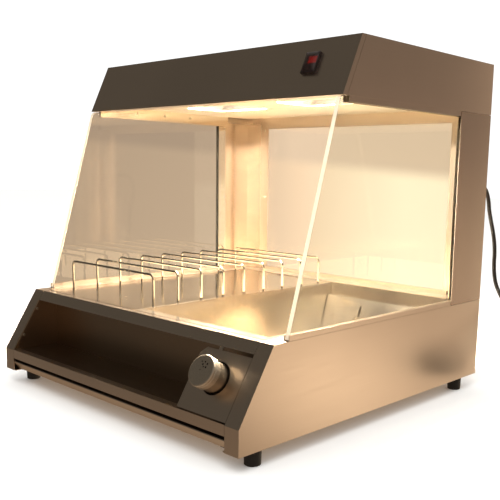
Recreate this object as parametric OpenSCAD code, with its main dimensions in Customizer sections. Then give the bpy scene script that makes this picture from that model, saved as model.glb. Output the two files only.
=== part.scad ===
// Countertop hot food display case: a heated, open-fronted cabinet with a raised
// lamp hood, glass sides and back, a drop-in food pan, a bag rack, a storage
// recess with a seasoning shaker, and a pull-out crumb tray.
// X runs to the right, Y runs to the back, Z is up. The origin is on the counter,
// under the middle of the case.

/* [Case] */
// Width over the side panels
case_w = 660; // [560:10:800]
// Depth from the front foot of the side panels to the back
case_d = 650; // [600:10:760]
// Height of the top of the base
base_top_z = 175; // [165:5:200]
// Height of the underside of the hood
hood_low_z = 529; // [460:1:640]
// Height of the hood
hood_h = 92; // [85:1:120]
// Thickness of the folded sheet
sheet = 1.5; // [1:0.1:2]

/* [Base] */
// Height of the lower end of the sloping front
slope_low_z = 66; // [64:1:72]
// How far the sloping front leans back
slope_run = 67; // [50:1:80]
// Width of the front stile folded from each side panel
stile_w = 29; // [24:1:40]
// Width of the flange folded in at the bottom of each side panel
bottom_flange = 34; // [30:1:40]
// Height of the sloping face of the top rail
top_rail_h = 17; // [12:1:24]
// Depth of the flat lip along the top of the front
front_lip = 12; // [10:1:16]
// Underside of the lower rail
rail_low_z = 50; // [48:1:54]
// Distance from the front foot to the back wall of the storage recess
recess_d = 93.5; // [90:0.5:110]
// Distance from the deck opening to the back of the case
rear_deck_d = 35; // [30:1:50]
// How far the back panels sit in from the back edge
rear_inset = 2; // [2:0.5:4]

/* [Feet] */
// Height of a foot
foot_h = 26; // [20:1:40]
// Radius of the top of a foot
foot_r = 13.5; // [11:0.5:16]
// Radius of the bottom of a foot
foot_low_r = 12.5; // [10:0.5:14]
// Distance from the side of the case to the middle of a foot
foot_side = 19; // [17:1:22]
// Distance from the front foot of the case to the middle of a front foot
foot_front = 46; // [36:1:60]
// Distance from the back of the case to the middle of a rear foot
foot_rear = 48; // [36:1:70]

/* [Crumb tray] */
// Floor of the crumb tray
tray_z = 31; // [30.5:0.5:33]
// Height of the crumb tray
tray_h = 13; // [8:1:15]
// From the back of the crumb tray to the back of the case
tray_rear_gap = 90; // [70:5:300]
// Side play of the crumb tray
tray_play = 1; // [0.5:0.1:2]

/* [Deck, rack and pan] */
// Visible gap round the drop-in pieces
drop_gap = 2.5; // [1:0.5:4]
// Gap between the rack deck and the pan
mid_gap = 1.5; // [1:0.1:3]
// Left edge of the pan, measured from the middle of the case
pan_left = -23; // [-80:1:0]
// Width of the flange round the pan
pan_flange = 9; // [7:0.5:12]
// Depth of the pan below the deck
pan_depth = 109; // [60:1:112]
// Distance from the top of the pan down to its rear ledge
ledge_drop = 26; // [20:1:36]
// Depth of the rear ledge
ledge_d = 10; // [8:1:14]
// How far the pan walls lean in
pan_draft = 14; // [6:1:20]
// Distance from one hoop to the next
hoop_pitch = 56; // [40:1:56]
// Diameter of the hoop wire
hoop_wire = 4.4; // [3:0.2:6]
// Height of a hoop above the deck
hoop_h = 57; // [40:1:90]
// Bend radius at the middle of the hoop wire
hoop_bend = 9; // [6:1:14]
// Distance from the left end of the deck to a hoop leg
hoop_edge = 3; // [3:0.5:12]
// Distance from the right end of the deck to a hoop leg
hoop_edge_in = 7.5; // [3:0.5:12]

/* [Glass] */
// Thickness of the side glass
side_glass_t = 8; // [5:0.5:10]
// Thickness of the rear glass
rear_glass_t = 6; // [4:0.5:6]
// Clearance on each face of the glass
glass_play = 0.3; // [0.2:0.1:0.5]
// Height of the channels that hold the glass
glass_rail_h = 9; // [7:0.5:12]
// How far the side channels sit in from the side panels
rail_inset = 0.7; // [0.5:0.1:2]

/* [Columns] */
// Depth of the side leg of a rear column
column_side = 108; // [80:1:140]
// Width of the back leg of a rear column
column_back = 74; // [60:1:90]
// Thickness of a column from its outer to its inner skin
column_t = 5; // [4.5:0.5:8]
// Open seam above and below the column skin
seam = 0.8; // [0.5:0.1:1.5]

/* [Hood] */
// Distance from the front foot of the case to the bottom of the hood
hood_low_back = 203; // [150:1:240]
// Distance from the front foot of the case to the top of the hood
hood_top_back = 245; // [200:1:300]
// Return of the hood front round each side
hood_return = 10; // [8:1:16]
// Height of the ceiling above the underside of the hood
ceiling_up = 12; // [10:1:20]
// Distance from the middle of the case to the middle of a lamp
lamp_x = 128; // [100:1:150]
// Distance from the front foot of the case to the middle of the lamps
lamp_back = 392; // [340:1:430]
// Length of the lamp opening
lamp_l = 140; // [130:1:180]
// Depth of the lamp opening
lamp_d = 96; // [80:1:120]

/* [Switch] */
// Distance from the middle of the case to the middle of the switch
switch_x = 248; // [200:1:290]
// Height of the middle of the switch above the underside of the hood
switch_up = 52; // [40:1:60]
// Angle of the rocker from level at rest
rocker_tilt = 8; // [6:1:10]

/* [Shaker] */
// Distance from the middle of the case to the shaker
shaker_x = 248; // [240:1:255]
// Height of the middle of the shaker hole
shaker_z = 117; // [114:1:120]
// Radius of the shaker
shaker_r = 23; // [20:0.5:23]
// How far the shaker cap stands out round the shaker
cap_rim = 1.6; // [0.8:0.2:4]
// Play between the shaker and its cup
shaker_play = 3; // [1:0.5:3]
// Depth of the cup behind the plate
cup_depth = 50; // [40:1:51]
// How far the shaker stands out of the plate
shaker_out = 34; // [28:1:40]

/* [Cord] */
// Diameter of the mains cord
cord_d = 8; // [6:0.5:10]
// Height of the cord gland
gland_z = 395; // [300:5:450]

/* [Hidden] */
$fn = 48;

// Colours
steel = "#b9a58c";
steel_dark = "#6f665c";
steel_bright = "#d9c9ae";
rubber = "#17181a";
black = "#1c1a18";
glass = [0.85, 0.92, 0.9, 0.3];
brass = "#b08d4a";
ceramic = "#e8e0d0";

// Planes and corners of the case
half_w = case_w / 2;
hood_top_z = hood_low_z + hood_h;
slope_a = atan2(base_top_z - slope_low_z, slope_run);
hood_a = atan2(hood_h, hood_top_back - hood_low_back);
// How far the shaker cap stands out past the front foot of the case
cap_r = shaker_r + cap_rim;
cap_edge = 0.6;
shaker_proud = max(0, (shaker_out - cap_edge) * sin(slope_a) + (cap_r - cap_edge) * cos(slope_a)
  - (shaker_z - slope_low_z) / tan(slope_a));
front_y = shaker_proud - (case_d + shaker_proud) / 2;
rear_y = front_y + case_d;
opening_x = half_w - stile_w;
lip_front_y = slope_y(base_top_z);
opening_y0 = lip_front_y + front_lip;
opening_y1 = rear_y - rear_deck_d;
recess_back_y = front_y + recess_d;
skin_z = base_top_z - sheet;
tiny = 0.02;

// Glass, rails and columns
side_glass_x1 = half_w - rail_inset - sheet - glass_play;
side_glass_x0 = side_glass_x1 - side_glass_t;
glass_z0 = base_top_z + sheet;
glass_z1 = hood_low_z - sheet;
column_y0 = rear_y - column_side;
column_z0 = base_top_z;
column_in_x = half_w - column_t;
column_in_y = rear_y - column_t;
side_glass_y1 = column_y0 + 15;
glass_foot_y = lip_front_y + 33;
glass_head_y = hood_y(hood_low_z) - 1;
rear_glass_x = half_w - column_back - 1;
rear_glass_y1 = rear_y - sheet - glass_play;
rear_glass_y0 = rear_glass_y1 - rear_glass_t;
frame_strip_w = 25;
clamp_z0 = hood_low_z - 10;
ceiling_z = hood_low_z + ceiling_up;
ceiling_y0 = hood_y(hood_low_z) + 25;
ceiling_y1 = rear_glass_y0 - 2;
clamp_x0 = side_glass_x0 - glass_play - sheet - 1.9;
ceiling_x = clamp_x0 - 0.3;

// Drop-in pieces
deck_x0 = -opening_x + drop_gap;
deck_x1 = pan_left - mid_gap;
deck_y0 = opening_y0 + drop_gap;
deck_y1 = opening_y1 - drop_gap;
pan_right = opening_x - drop_gap;
well_x0 = pan_left + pan_flange;
well_x1 = pan_right - pan_flange;
well_y0 = max(deck_y0 + pan_flange + 4, recess_back_y + sheet + 3);
well_y1 = deck_y1 - pan_flange;
well_z = base_top_z - pan_depth;
ledge_z = base_top_z - ledge_drop;
ledge_y = well_y1 - 3 - ledge_d;
ledge_w = 6;
bar_w = 30;
hoop_x0 = deck_x0 + hoop_edge;
hoop_x1 = deck_x1 - hoop_edge_in;
hoop_count = 9;
hoop_y0 = deck_y0 + 52 - drop_gap;
hoop_step = min(hoop_pitch, (deck_y1 - 20 - hoop_y0) / (hoop_count - 1));

// Screw sizes: head radius, head height, shank radius, clearance hole radius
head_r = 3;
head_h = 1.4;
shank_r = 1.95;
hole_r = 2.05;

// Screw places, as [Y, Z] on the sides and [X, Z] on the back
recess_screws = [[slope_y(141) + 6, 141], [slope_y(93) + 6, 93]];
top_clamp_y = [for (i = [0:3]) glass_head_y + 32 + i * (column_y0 - glass_head_y - 48) / 4];
column_clamp_z = [for (i = [0:2]) base_top_z + 15 + i * (hood_low_z - base_top_z - 30) / 2];
side_clamp_flange_y = side_glass_y1 + 8;
frame_screw_x = rear_glass_x + 5.5;
frame_screw_z = [for (i = [0:2]) base_top_z + 19 + i * (hood_low_z - base_top_z - 36) / 2];
rear_panel_y = rear_y - rear_inset;
foot_places = [[-1, front_y + foot_front], [1, front_y + foot_front],
  [-1, rear_y - foot_rear], [1, rear_y - foot_rear]];
foot_x = half_w - foot_side;
foot_bolt_r = 3;

function slope_y(z) = front_y + (z - slope_low_z) / tan(slope_a);
function hood_y(z) = front_y + hood_low_back + (z - hood_low_z) / tan(hood_a);

// Draws a Y-Z outline from x0 to x1
module across(x0, x1) {
  translate([x0, 0, 0])
    rotate([90, 0, 90])
      linear_extrude(x1 - x0)
        children();
}

// Draws an X-Z outline from y0 to y1
module along(y0, y1) {
  translate([0, y1, 0])
    rotate([90, 0, 0])
      linear_extrude(y1 - y0)
        children();
}

// A box from one corner to the other
module block(a, b) {
  translate(a)
    cube(b - a);
}

// The piece on the right and its mirror image on the left
module both_sides() {
  children();
  mirror([1, 0, 0])
    children();
}

// Sheet on the sloping front, from height z0 to z1
module slope_sheet(z0, z1, t = sheet) {
  dy = t / sin(slope_a);
  polygon([[slope_y(z0), z0], [slope_y(z1), z1], [slope_y(z1) + dy, z1], [slope_y(z0) + dy, z0]]);
}

// Sheet on the sloping hood front, from height z0 to z1
module hood_sheet(z0, z1, t = sheet) {
  dy = t / sin(hood_a);
  polygon([[hood_y(z0), z0], [hood_y(z1), z1], [hood_y(z1) + dy, z1], [hood_y(z0) + dy, z0]]);
}

// Local frame on the sloping front: X right, Y up the slope, Z outward
module on_slope(x, z) {
  translate([x, slope_y(z), z])
    rotate([slope_a, 0, 0])
      children();
}

// Local frame on the hood front
module on_hood(x, z) {
  translate([x, hood_y(z), z])
    rotate([hood_a, 0, 0])
      children();
}

// A screw whose head lies on z = 0 and whose shank goes down
module screw(length) {
  difference() {
    cylinder(r1 = head_r, r2 = head_r * 0.75, h = head_h);
    translate([0, 0, head_h - 0.6])
      cylinder(r = 1.4, h = 1, $fn = 24);
  }
  translate([0, 0, -length])
    cylinder(r = shank_r, h = length + tiny, $fn = 24);
}

// Clearance hole for a screw, through z = 0
module screw_hole(depth) {
  translate([0, 0, -depth])
    cylinder(r = hole_r, h = depth + 1, $fn = 24);
}

// ---- Base ----

module base_outline() {
  polygon([[front_y, foot_h], [front_y, slope_low_z], [lip_front_y, base_top_z],
    [rear_y, base_top_z], [rear_y, foot_h]]);
}

// Inner corner of the sheet where the vertical front meets the slope
function stile_corner_z() = slope_low_z - (sheet / sin(slope_a) - sheet) * tan(slope_a);

module front_stile_outline() {
  dy = sheet / sin(slope_a);
  polygon([[front_y, foot_h], [front_y, slope_low_z], [lip_front_y, base_top_z],
    [lip_front_y + dy, base_top_z], [front_y + sheet, stile_corner_z()],
    [front_y + sheet, foot_h]]);
}

// Flange inside the stile that the storage recess is screwed to
module stile_return_outline() {
  dy = sheet / sin(slope_a);
  polygon([[slope_y(78) + dy, 78], [slope_y(162) + dy, 162],
    [slope_y(162) + dy + 14, 162], [slope_y(78) + dy + 14, 78]]);
}

module base_side_right() {
  color(steel)
    difference() {
      union() {
        across(half_w - sheet, half_w)
          base_outline();
        across(opening_x, half_w - sheet)
          front_stile_outline();
        across(opening_x, opening_x + sheet)
          stile_return_outline();
        // bottom flange
        block([half_w - bottom_flange, front_y + sheet, foot_h],
          [half_w - sheet, rear_panel_y - sheet, foot_h + sheet]);
        // top flange
        block([opening_x, lip_front_y + sheet, skin_z],
          [half_w - sheet, rear_y, base_top_z]);
        // rear flange for the back panel
        block([half_w - 20, rear_panel_y - 2 * sheet, foot_h + sheet],
          [half_w - sheet, rear_panel_y - sheet, skin_z]);
      }
      for (p = recess_screws)
        translate([opening_x - 1, p[0], p[1]])
          rotate([0, -90, 0])
            screw_hole(4);
      for (y = [front_y + foot_front, rear_y - foot_rear])
        translate([foot_x, y, foot_h - 1])
          cylinder(r = foot_bolt_r + 0.1, h = 4);
      for (z = [60, 140])
        translate([half_w - 12, rear_panel_y, z])
          rotate([-90, 0, 0])
            screw_hole(6);
      duct_hole();
    }
}

module base_side_left() {
  mirror([1, 0, 0])
    base_side_right();
}

// Passage for the wires beside the right column
module duct_hole() {
  translate([column_in_x - 12, column_in_y - 12, base_top_z - 5])
    cylinder(r = 7, h = 10);
}

module front_top_rail() {
  dy = sheet / sin(slope_a);
  rail_z0 = base_top_z - top_rail_h;
  gap = 0.4;
  color(steel_dark)
    union() {
      across(-opening_x + gap, opening_x - gap) {
        slope_sheet(rail_z0, base_top_z);
        // flat lip and its hem
        polygon([[lip_front_y, base_top_z], [opening_y0, base_top_z],
          [opening_y0, skin_z], [lip_front_y, skin_z]]);
        polygon([[opening_y0 - sheet, skin_z + tiny], [opening_y0, skin_z + tiny],
          [opening_y0, skin_z - 7], [opening_y0 - sheet, skin_z - 7]]);
        // lower hem folded in
        polygon([[slope_y(rail_z0) + dy / 2, rail_z0], [slope_y(rail_z0) + 9, rail_z0],
          [slope_y(rail_z0) + 9, rail_z0 + sheet], [slope_y(rail_z0) + dy / 2, rail_z0 + sheet]]);
      }
      // tabs that hold the front edges of the drop-in pieces
      for (x = [41 - opening_x, -100, 60, opening_x - 51])
        block([x - 15, opening_y0 - 0.5, skin_z - sheet], [x + 15, opening_y0 + ledge_w + 4, skin_z]);
    }
}

recess_x = opening_x - sheet;
recess_z = slope_low_z - 2;
recess_top = base_top_z - top_rail_h + 8;

module recess_end_outline() {
  dy = sheet / sin(slope_a) + 0.3;
  z1 = base_top_z - top_rail_h - 1;
  z0 = recess_z + 3.3;
  polygon([[front_y + 14.3, recess_z + sheet], [front_y + 14.3, z0], [slope_y(z0) + dy, z0],
    [slope_y(z1) + dy, z1], [slope_y(z1) + 11, z1], [slope_y(z1) + 11, recess_top],
    [recess_back_y, recess_top], [recess_back_y, recess_z + sheet]]);
}

module storage_recess() {
  color(steel_dark)
    difference() {
      union() {
        // floor
        block([-opening_x + 0.4, front_y + sheet + 0.2, recess_z],
          [opening_x - 0.4, recess_back_y + sheet, recess_z + sheet]);
        // back wall and the flange along its top
        block([-opening_x, recess_back_y, recess_z + sheet - tiny],
          [opening_x, recess_back_y + sheet, recess_top]);
        block([-opening_x, recess_back_y - 8, recess_top - sheet],
          [opening_x, recess_back_y + tiny, recess_top]);
        both_sides()
          across(recess_x, opening_x)
            recess_end_outline();
      }
      both_sides()
        for (p = recess_screws)
          translate([recess_x, p[0], p[1]])
            rotate([0, -90, 0])
              screw_hole(3);
    }
}

module lower_front_rail() {
  gap = 0.5;
  top_z = slope_low_z + 1;
  color(steel)
    across(-opening_x + gap, opening_x - gap) {
      polygon([[front_y, rail_low_z], [front_y, top_z], [front_y + 14, top_z],
        [front_y + 14, top_z - sheet + 0.1], [front_y + sheet, top_z - sheet + 0.1],
        [front_y + sheet, rail_low_z + sheet], [front_y + 11, rail_low_z + sheet],
        [front_y + 11, rail_low_z]]);
    }
}

module base_floor() {
  color(steel)
    difference() {
      union() {
        block([-half_w + sheet + 0.3, front_y + 30, foot_h + sheet],
          [half_w - sheet - 0.3, rear_panel_y - 2 * sheet - 0.2, foot_h + 2 * sheet]);
      }
      for (p = foot_places)
        translate([p[0] * foot_x, p[1], foot_h])
          cylinder(r = foot_bolt_r + 0.1, h = 6);
      // vent slots under the heater
      for (i = [-4:4])
        block([i * 44 - 12, -3, foot_h], [i * 44 + 12, 3, foot_h + 5]);
    }
}

module foot(side, y) {
  color(rubber)
    translate([side * foot_x, y, 0])
      difference() {
        rotate_extrude()
          polygon([[0, 0], [foot_low_r - 1, 0], [foot_low_r, 1], [foot_r, foot_h], [0, foot_h]]);
        translate([0, 0, -1])
          cylinder(r = 6.5, h = 11);
        cylinder(r = foot_bolt_r + 0.1, h = foot_h + 1);
      }
}

module base_rear_panel() {
  color(steel)
    difference() {
      block([-half_w + sheet + 0.3, rear_panel_y - sheet, foot_h + 0.5],
        [half_w - sheet - 0.3, rear_panel_y, skin_z - 0.3]);
      for (z = [60, 140])
        for (s = [-1, 1])
          translate([s * (half_w - 12), rear_panel_y, z])
            rotate([-90, 0, 0])
              screw_hole(4);
      // louvre slots
      for (i = [0:9])
        for (s = [-1, 1])
          block([s * 150 - 50, rear_panel_y - 5, 70 + i * 7],
            [s * 150 + 50, rear_panel_y + 1, 73 + i * 7]);
    }
}

// ---- Crumb tray ----

tray_l = case_d - tray_rear_gap;
tray_wall_x = opening_x - 6;
runner_x = tray_wall_x + tray_play;
tray_floor_z = tray_z;

module crumb_tray() {
  w = tray_wall_x;
  z1 = tray_floor_z + tray_h;
  y0 = front_y + 6;
  color(steel)
    union() {
      block([-w, y0, tray_floor_z], [w, front_y + tray_l, tray_floor_z + sheet]);
      both_sides()
        block([w - sheet, y0, tray_floor_z + sheet - tiny], [w, front_y + tray_l, z1]);
      block([-w, front_y + tray_l - sheet, tray_floor_z + sheet - tiny], [w, front_y + tray_l, z1]);
      // leaning front strip with the lip the fingers pull
      across(-opening_x + 1, opening_x - 1)
        polygon([[front_y + 4.5, tray_floor_z + 3.5], [front_y + 0.5, z1 - 1], [front_y + 1.5, z1],
          [front_y + 9, z1], [front_y + 9, z1 - sheet], [front_y + 3, z1 - sheet],
          [front_y + 6.5, tray_floor_z + 3.5]]);
      across(-w, w)
        polygon([[front_y + 5, tray_floor_z + 3.4], [front_y + 6, tray_floor_z],
          [front_y + 6 + sheet, tray_floor_z + sheet - tiny], [front_y + 6 + sheet, z1 - sheet],
          [front_y + 6, z1 - sheet], [front_y + 6, tray_floor_z + 3.4]]);
    }
}

module tray_runners() {
  z0 = foot_h + 2 * sheet;
  color(black)
    both_sides() {
      difference() {
        across(runner_x - 12, runner_x + sheet)
          polygon([[front_y + 8, z0], [front_y + tray_l, z0],
            [front_y + tray_l, tray_floor_z + 11], [front_y + 8, tray_floor_z + 11]]);
        block([runner_x - 13, front_y - 10, tray_floor_z], [runner_x, rear_y, tray_floor_z + 12]);
      }
    }
}

// ---- Shaker and its holder ----

holder_x0 = shaker_x - 54;
holder_x1 = opening_x - 0.6;
holder_z0 = slope_low_z + 3;
holder_z1 = base_top_z - top_rail_h - 5.2;
cup_r = shaker_r + shaker_play;
// The cup stops short of the recess floor and of the recess back
cup_l = min(cup_depth,
  (shaker_z - recess_z - sheet - 1.5 - (cup_r + 1.2) * sin(slope_a)) / cos(slope_a),
  (recess_back_y - 1 - slope_y(shaker_z) - (cup_r + 1.2) * cos(slope_a)) / sin(slope_a));

module shaker_holder() {
  dy = sheet / sin(slope_a);
  chamfer = 9;
  color(steel_dark)
    difference() {
      union() {
        difference() {
          across(holder_x0, holder_x1)
            slope_sheet(holder_z0, holder_z1);
          // cut corner
          on_slope(holder_x0, holder_z1)
            rotate([0, 0, 45])
              cube([chamfer * 1.6, chamfer * 1.6, 8], center = true);
        }
        // tab up to the top rail
        across(holder_x0 + 35, holder_x0 + 43)
          slope_sheet(holder_z1 - 1, base_top_z - top_rail_h - tiny);
        // folded edge on the left
        across(holder_x0, holder_x0 + sheet)
          slope_sheet(holder_z0, holder_z1 - 12, 8);
        // cup behind the plate
        on_slope(shaker_x, shaker_z)
          translate([0, 0, -cup_l])
            cylinder(r = cup_r + 1.2, h = cup_l - 0.2);
      }
      on_slope(shaker_x, shaker_z)
        translate([0, 0, 1.2 - cup_l])
          cylinder(r = cup_r, h = cup_l + 5);
    }
}

cap_h = 15;
shaker_foot = cup_l - 1.2;
shaker_top = shaker_out - cap_h + 8;

module shaker_body() {
  color(steel_bright)
    on_slope(shaker_x, shaker_z)
      rotate_extrude()
        polygon([[0, -shaker_foot], [shaker_r - 2, -shaker_foot], [shaker_r, 2 - shaker_foot],
          [shaker_r, shaker_out - cap_h - 1.9], [shaker_r - 1.6, shaker_out - cap_h - 0.3],
          [shaker_r - 1.6, shaker_top], [shaker_r - 2.6, shaker_top],
          [shaker_r - 2.6, shaker_out - cap_h - 0.8], [shaker_r - 1, shaker_out - cap_h - 2.4],
          [shaker_r - 1, 2.6 - shaker_foot], [shaker_r - 2.4, 1 - shaker_foot],
          [0, 1 - shaker_foot]]);
}

// Pouring holes, as [radius, angle] on the cap, with the hole's own radius
cap_holes = [[9, 40, 1.5], [9, 95, 1.5], [13.5, 55, 1.5], [13.5, 82, 1.5],
  [13.5, 110, 1.2], [6, 70, 1.2], [2, 160, 1]];

module shaker_cap() {
  z0 = shaker_out - cap_h;
  z1 = shaker_out;
  inner = shaker_r - 1.2;
  color(steel_bright)
    on_slope(shaker_x, shaker_z)
      difference() {
        rotate_extrude()
          polygon([[0, z1 - 1], [0, z1], [cap_r - 2, z1], [cap_r - cap_edge, z1 - cap_edge],
            [cap_r, z1 - 2], [cap_r, z1 - 4], [cap_r - 0.9, z1 - 4.8],
            [cap_r - 0.9, z1 - 6], [cap_r, z1 - 6.8], [cap_r, z0 + 1], [cap_r - cap_edge, z0],
            [inner, z0], [inner, z1 - 1]]);
        for (h = cap_holes)
          rotate([0, 0, h[1]])
            translate([h[0], 0, z1 - 3])
              cylinder(r = h[2], h = 5, $fn = 20);
      }
}

// ---- Deck frame and drop-in pieces ----

module deck_frame() {
  z1 = skin_z;
  z0 = z1 - sheet;
  x1 = half_w - sheet - 0.2;
  lx = opening_x - ledge_w;
  bar_x1 = bar_x0 + bar_w - 10;
  color(steel)
    difference() {
      union() {
        // ledges under both side flanges
        both_sides()
          block([lx, opening_y0 + 3, z0], [x1, rear_panel_y - 2 * sheet - 0.2, z1]);
        // rear deck strip and its ledge
        block([-opening_x, opening_y1, z1 - tiny], [opening_x, rear_y, base_top_z]);
        block([-lx - 1, opening_y1 - ledge_w, z0],
          [lx + 1, rear_panel_y - 2 * sheet - 0.2, z1]);
        // bar between the rack deck and the pan, with a web below it
        block([bar_x0, opening_y0 + 0.1, z0], [bar_x1, opening_y1, z1]);
        block([bar_x0, recess_back_y + sheet + 1, z0 - 14], [bar_x0 + sheet, opening_y1, z0 + tiny]);
      }
      duct_hole();
    }
}

module rack_deck() {
  color(steel_bright)
    difference() {
      union() {
        block([deck_x0, deck_y0, skin_z], [deck_x1, deck_y1, base_top_z]);
        // stiffeners under the plate
        for (x = [deck_x0 + 78, deck_x1 - 106])
          block([x, deck_y0 + 20, skin_z - 8], [x + sheet, deck_y1 - 16, skin_z + tiny]);
      }
      // finger hole
      translate([(deck_x0 + deck_x1) / 2, deck_y1 - 15, skin_z - 1])
        cylinder(r = 9, h = 4);
    }
}

// One wire hoop that stands on the rack deck at depth y
module hoop(i) {
  y = hoop_y0 + i * hoop_step;
  r = hoop_wire / 2;
  z1 = base_top_z + hoop_h - r;
  color(steel_bright)
    translate([0, y, 0]) {
      for (x = [hoop_x0, hoop_x1])
        translate([x, 0, base_top_z])
          cylinder(r = r, h = z1 - base_top_z - hoop_bend, $fn = 20);
      translate([hoop_x0 + hoop_bend, 0, z1])
        rotate([0, 90, 0])
          cylinder(r = r, h = hoop_x1 - hoop_x0 - 2 * hoop_bend, $fn = 20);
      translate([hoop_x0 + hoop_bend, 0, z1 - hoop_bend])
        rotate([90, 0, 0])
          rotate([0, 0, 90])
            rotate_extrude(angle = 90)
              translate([hoop_bend, 0])
                circle(r = r, $fn = 20);
      translate([hoop_x1 - hoop_bend, 0, z1 - hoop_bend])
        rotate([90, 0, 0])
          rotate_extrude(angle = 90)
            translate([hoop_bend, 0])
              circle(r = r, $fn = 20);
    }
}

// Section of the well from front to back, grown by w
function well_yz(w) = [[well_y0 - w, base_top_z + 1], [well_y0 - w, base_top_z - 4],
  [well_y0 + pan_draft - w, well_z - w], [ledge_y - pan_draft + w, well_z - w],
  [ledge_y + w, ledge_z - w], [well_y1 - 3 + w, ledge_z - w],
  [well_y1 + w, base_top_z + 1]];

// Section of the well from left to right, grown by w
function well_xz(w) = [[well_x0 - w, base_top_z + 1], [well_x0 + pan_draft - w, well_z - w],
  [well_x1 - pan_draft + w, well_z - w], [well_x1 + w, base_top_z + 1]];

module well_solid(w) {
  intersection() {
    across(pan_left, pan_right)
      polygon(well_yz(w));
    along(deck_y0, deck_y1)
      polygon(well_xz(w));
  }
}

module chip_pan() {
  wall = 1.2;
  color(steel_bright)
    difference() {
      union() {
        block([pan_left, deck_y0, skin_z], [pan_right, deck_y1, base_top_z]);
        difference() {
          well_solid(wall);
          block([pan_left - 1, deck_y0 - 1, base_top_z - 0.5],
            [pan_right + 1, deck_y1 + 1, base_top_z + 3]);
        }
      }
      well_solid(0);
    }
}

ramp_foot_y = ledge_y - pan_draft - 26;

module chip_ramp() {
  t = 1.2;
  side = 1.8;
  x0 = well_x0 + side;
  x1 = well_x1 - side;
  mid = (well_x0 + well_x1) / 2;
  foot_z = well_z + 0.02;
  color(steel_bright)
    intersection() {
      difference() {
        across(x0 - 5, x1 + 5)
          polygon([[ledge_y + ledge_d - 1, ledge_z + 0.02], [ledge_y - 2, ledge_z + 0.02],
            [ramp_foot_y, foot_z], [ramp_foot_y - 22, foot_z], [ramp_foot_y - 22, foot_z + t],
            [ramp_foot_y - 0.8, foot_z + t], [ledge_y - 2.8, ledge_z + t + 0.02],
            [ledge_y + ledge_d - 1, ledge_z + t + 0.02]]);
        // drain holes
        for (i = [0:8])
          for (j = [0:3])
            translate([x0 + 32 + i * (x1 - x0 - 64) / 8, ledge_y - 60, well_z + 14 + j * 10])
              rotate([-90, 0, 0])
                cylinder(r = 2.5, h = 90, $fn = 20);
        // lifting slots
        for (x = [mid - 50, mid + 50])
          block([x - 2.5, ledge_y - 60, ledge_z - 34], [x + 2.5, ledge_y + 40, ledge_z - 12]);
      }
      along(deck_y0, deck_y1)
        polygon([[x0, base_top_z], [x0 + pan_draft, well_z], [x0 + pan_draft, well_z - 1],
          [x1 - pan_draft, well_z - 1], [x1 - pan_draft, well_z], [x1, base_top_z]]);
    }
}

// ---- Base heater ----

heater_plate_z = tray_floor_z + tray_h + 3;
heater_x0 = well_x0 + 24;
heater_x1 = well_x1 - 24;
heater_r = 3.2;
heater_z = heater_plate_z + sheet + 2 + heater_r;
hanger_y = [recess_back_y + 106, rear_panel_y - 168];

bar_x0 = (deck_x1 + pan_left) / 2 - bar_w / 2;
strap_x = opening_x - ledge_w + 2;

module heater_tray() {
  color(steel)
    difference() {
      union() {
        block([heater_x0 - 6, recess_back_y + sheet + 0.1, heater_plate_z],
          [heater_x1 + 6, rear_panel_y - 2 * sheet - 0.2, heater_plate_z + sheet]);
        for (x = [heater_x0 - 6, heater_x1 + 6 - sheet])
          block([x, recess_back_y + sheet + 0.1, heater_plate_z + sheet - tiny],
            [x + sheet, rear_panel_y - 2 * sheet - 0.2, heater_plate_z + 10]);
        for (y = hanger_y) {
          // strip that holds the element off the plate
          block([heater_x0, y - 5, heater_plate_z + sheet - tiny],
            [heater_x1, y + 5, heater_z - heater_r]);
          // straps up to the deck frame
          block([bar_x0 + sheet, y - 8, heater_plate_z], [heater_x0, y + 8, heater_plate_z + sheet]);
          block([bar_x0 + sheet, y - 8, heater_plate_z], [bar_x0 + 2 * sheet, y + 8, skin_z - sheet]);
          block([heater_x1, y - 8, heater_plate_z], [strap_x, y + 8, heater_plate_z + sheet]);
          block([strap_x - sheet, y - 8, heater_plate_z], [strap_x, y + 8, skin_z - sheet]);
        }
      }
    }
}

module base_heater() {
  n = 4;
  pitch = 2 * floor((heater_x1 - heater_x0 - 40) / (n - 1) / 2);
  xs = heater_x0 + 20;
  y0 = round(recess_back_y + 75);
  y1 = round(rear_panel_y - 128);
  color("#4a4440")
    translate([0, 0, heater_z]) {
      for (i = [0:n - 1])
        translate([xs + i * pitch, y0, 0])
          rotate([-90, 0, 0])
            cylinder(r = heater_r, h = y1 - y0 + (i == 0 || i == n - 1 ? 45 : 0));
      for (i = [0:n - 2])
        translate([xs + (i + 0.5) * pitch, i % 2 == 0 ? y0 : y1, 0])
          rotate([0, 0, i % 2 == 0 ? 180 : 0])
            rotate_extrude(angle = 180)
              translate([pitch / 2, 0])
                circle(r = heater_r);
    }
}

module limit_thermostat() {
  color(black)
    translate([(heater_x0 + heater_x1) / 2, rear_panel_y - 66, heater_plate_z + sheet]) {
      cylinder(r = 9, h = 8);
      translate([-12, -4, 0])
        cube([24, 8, 2]);
    }
}

// ---- Columns ----

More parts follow.
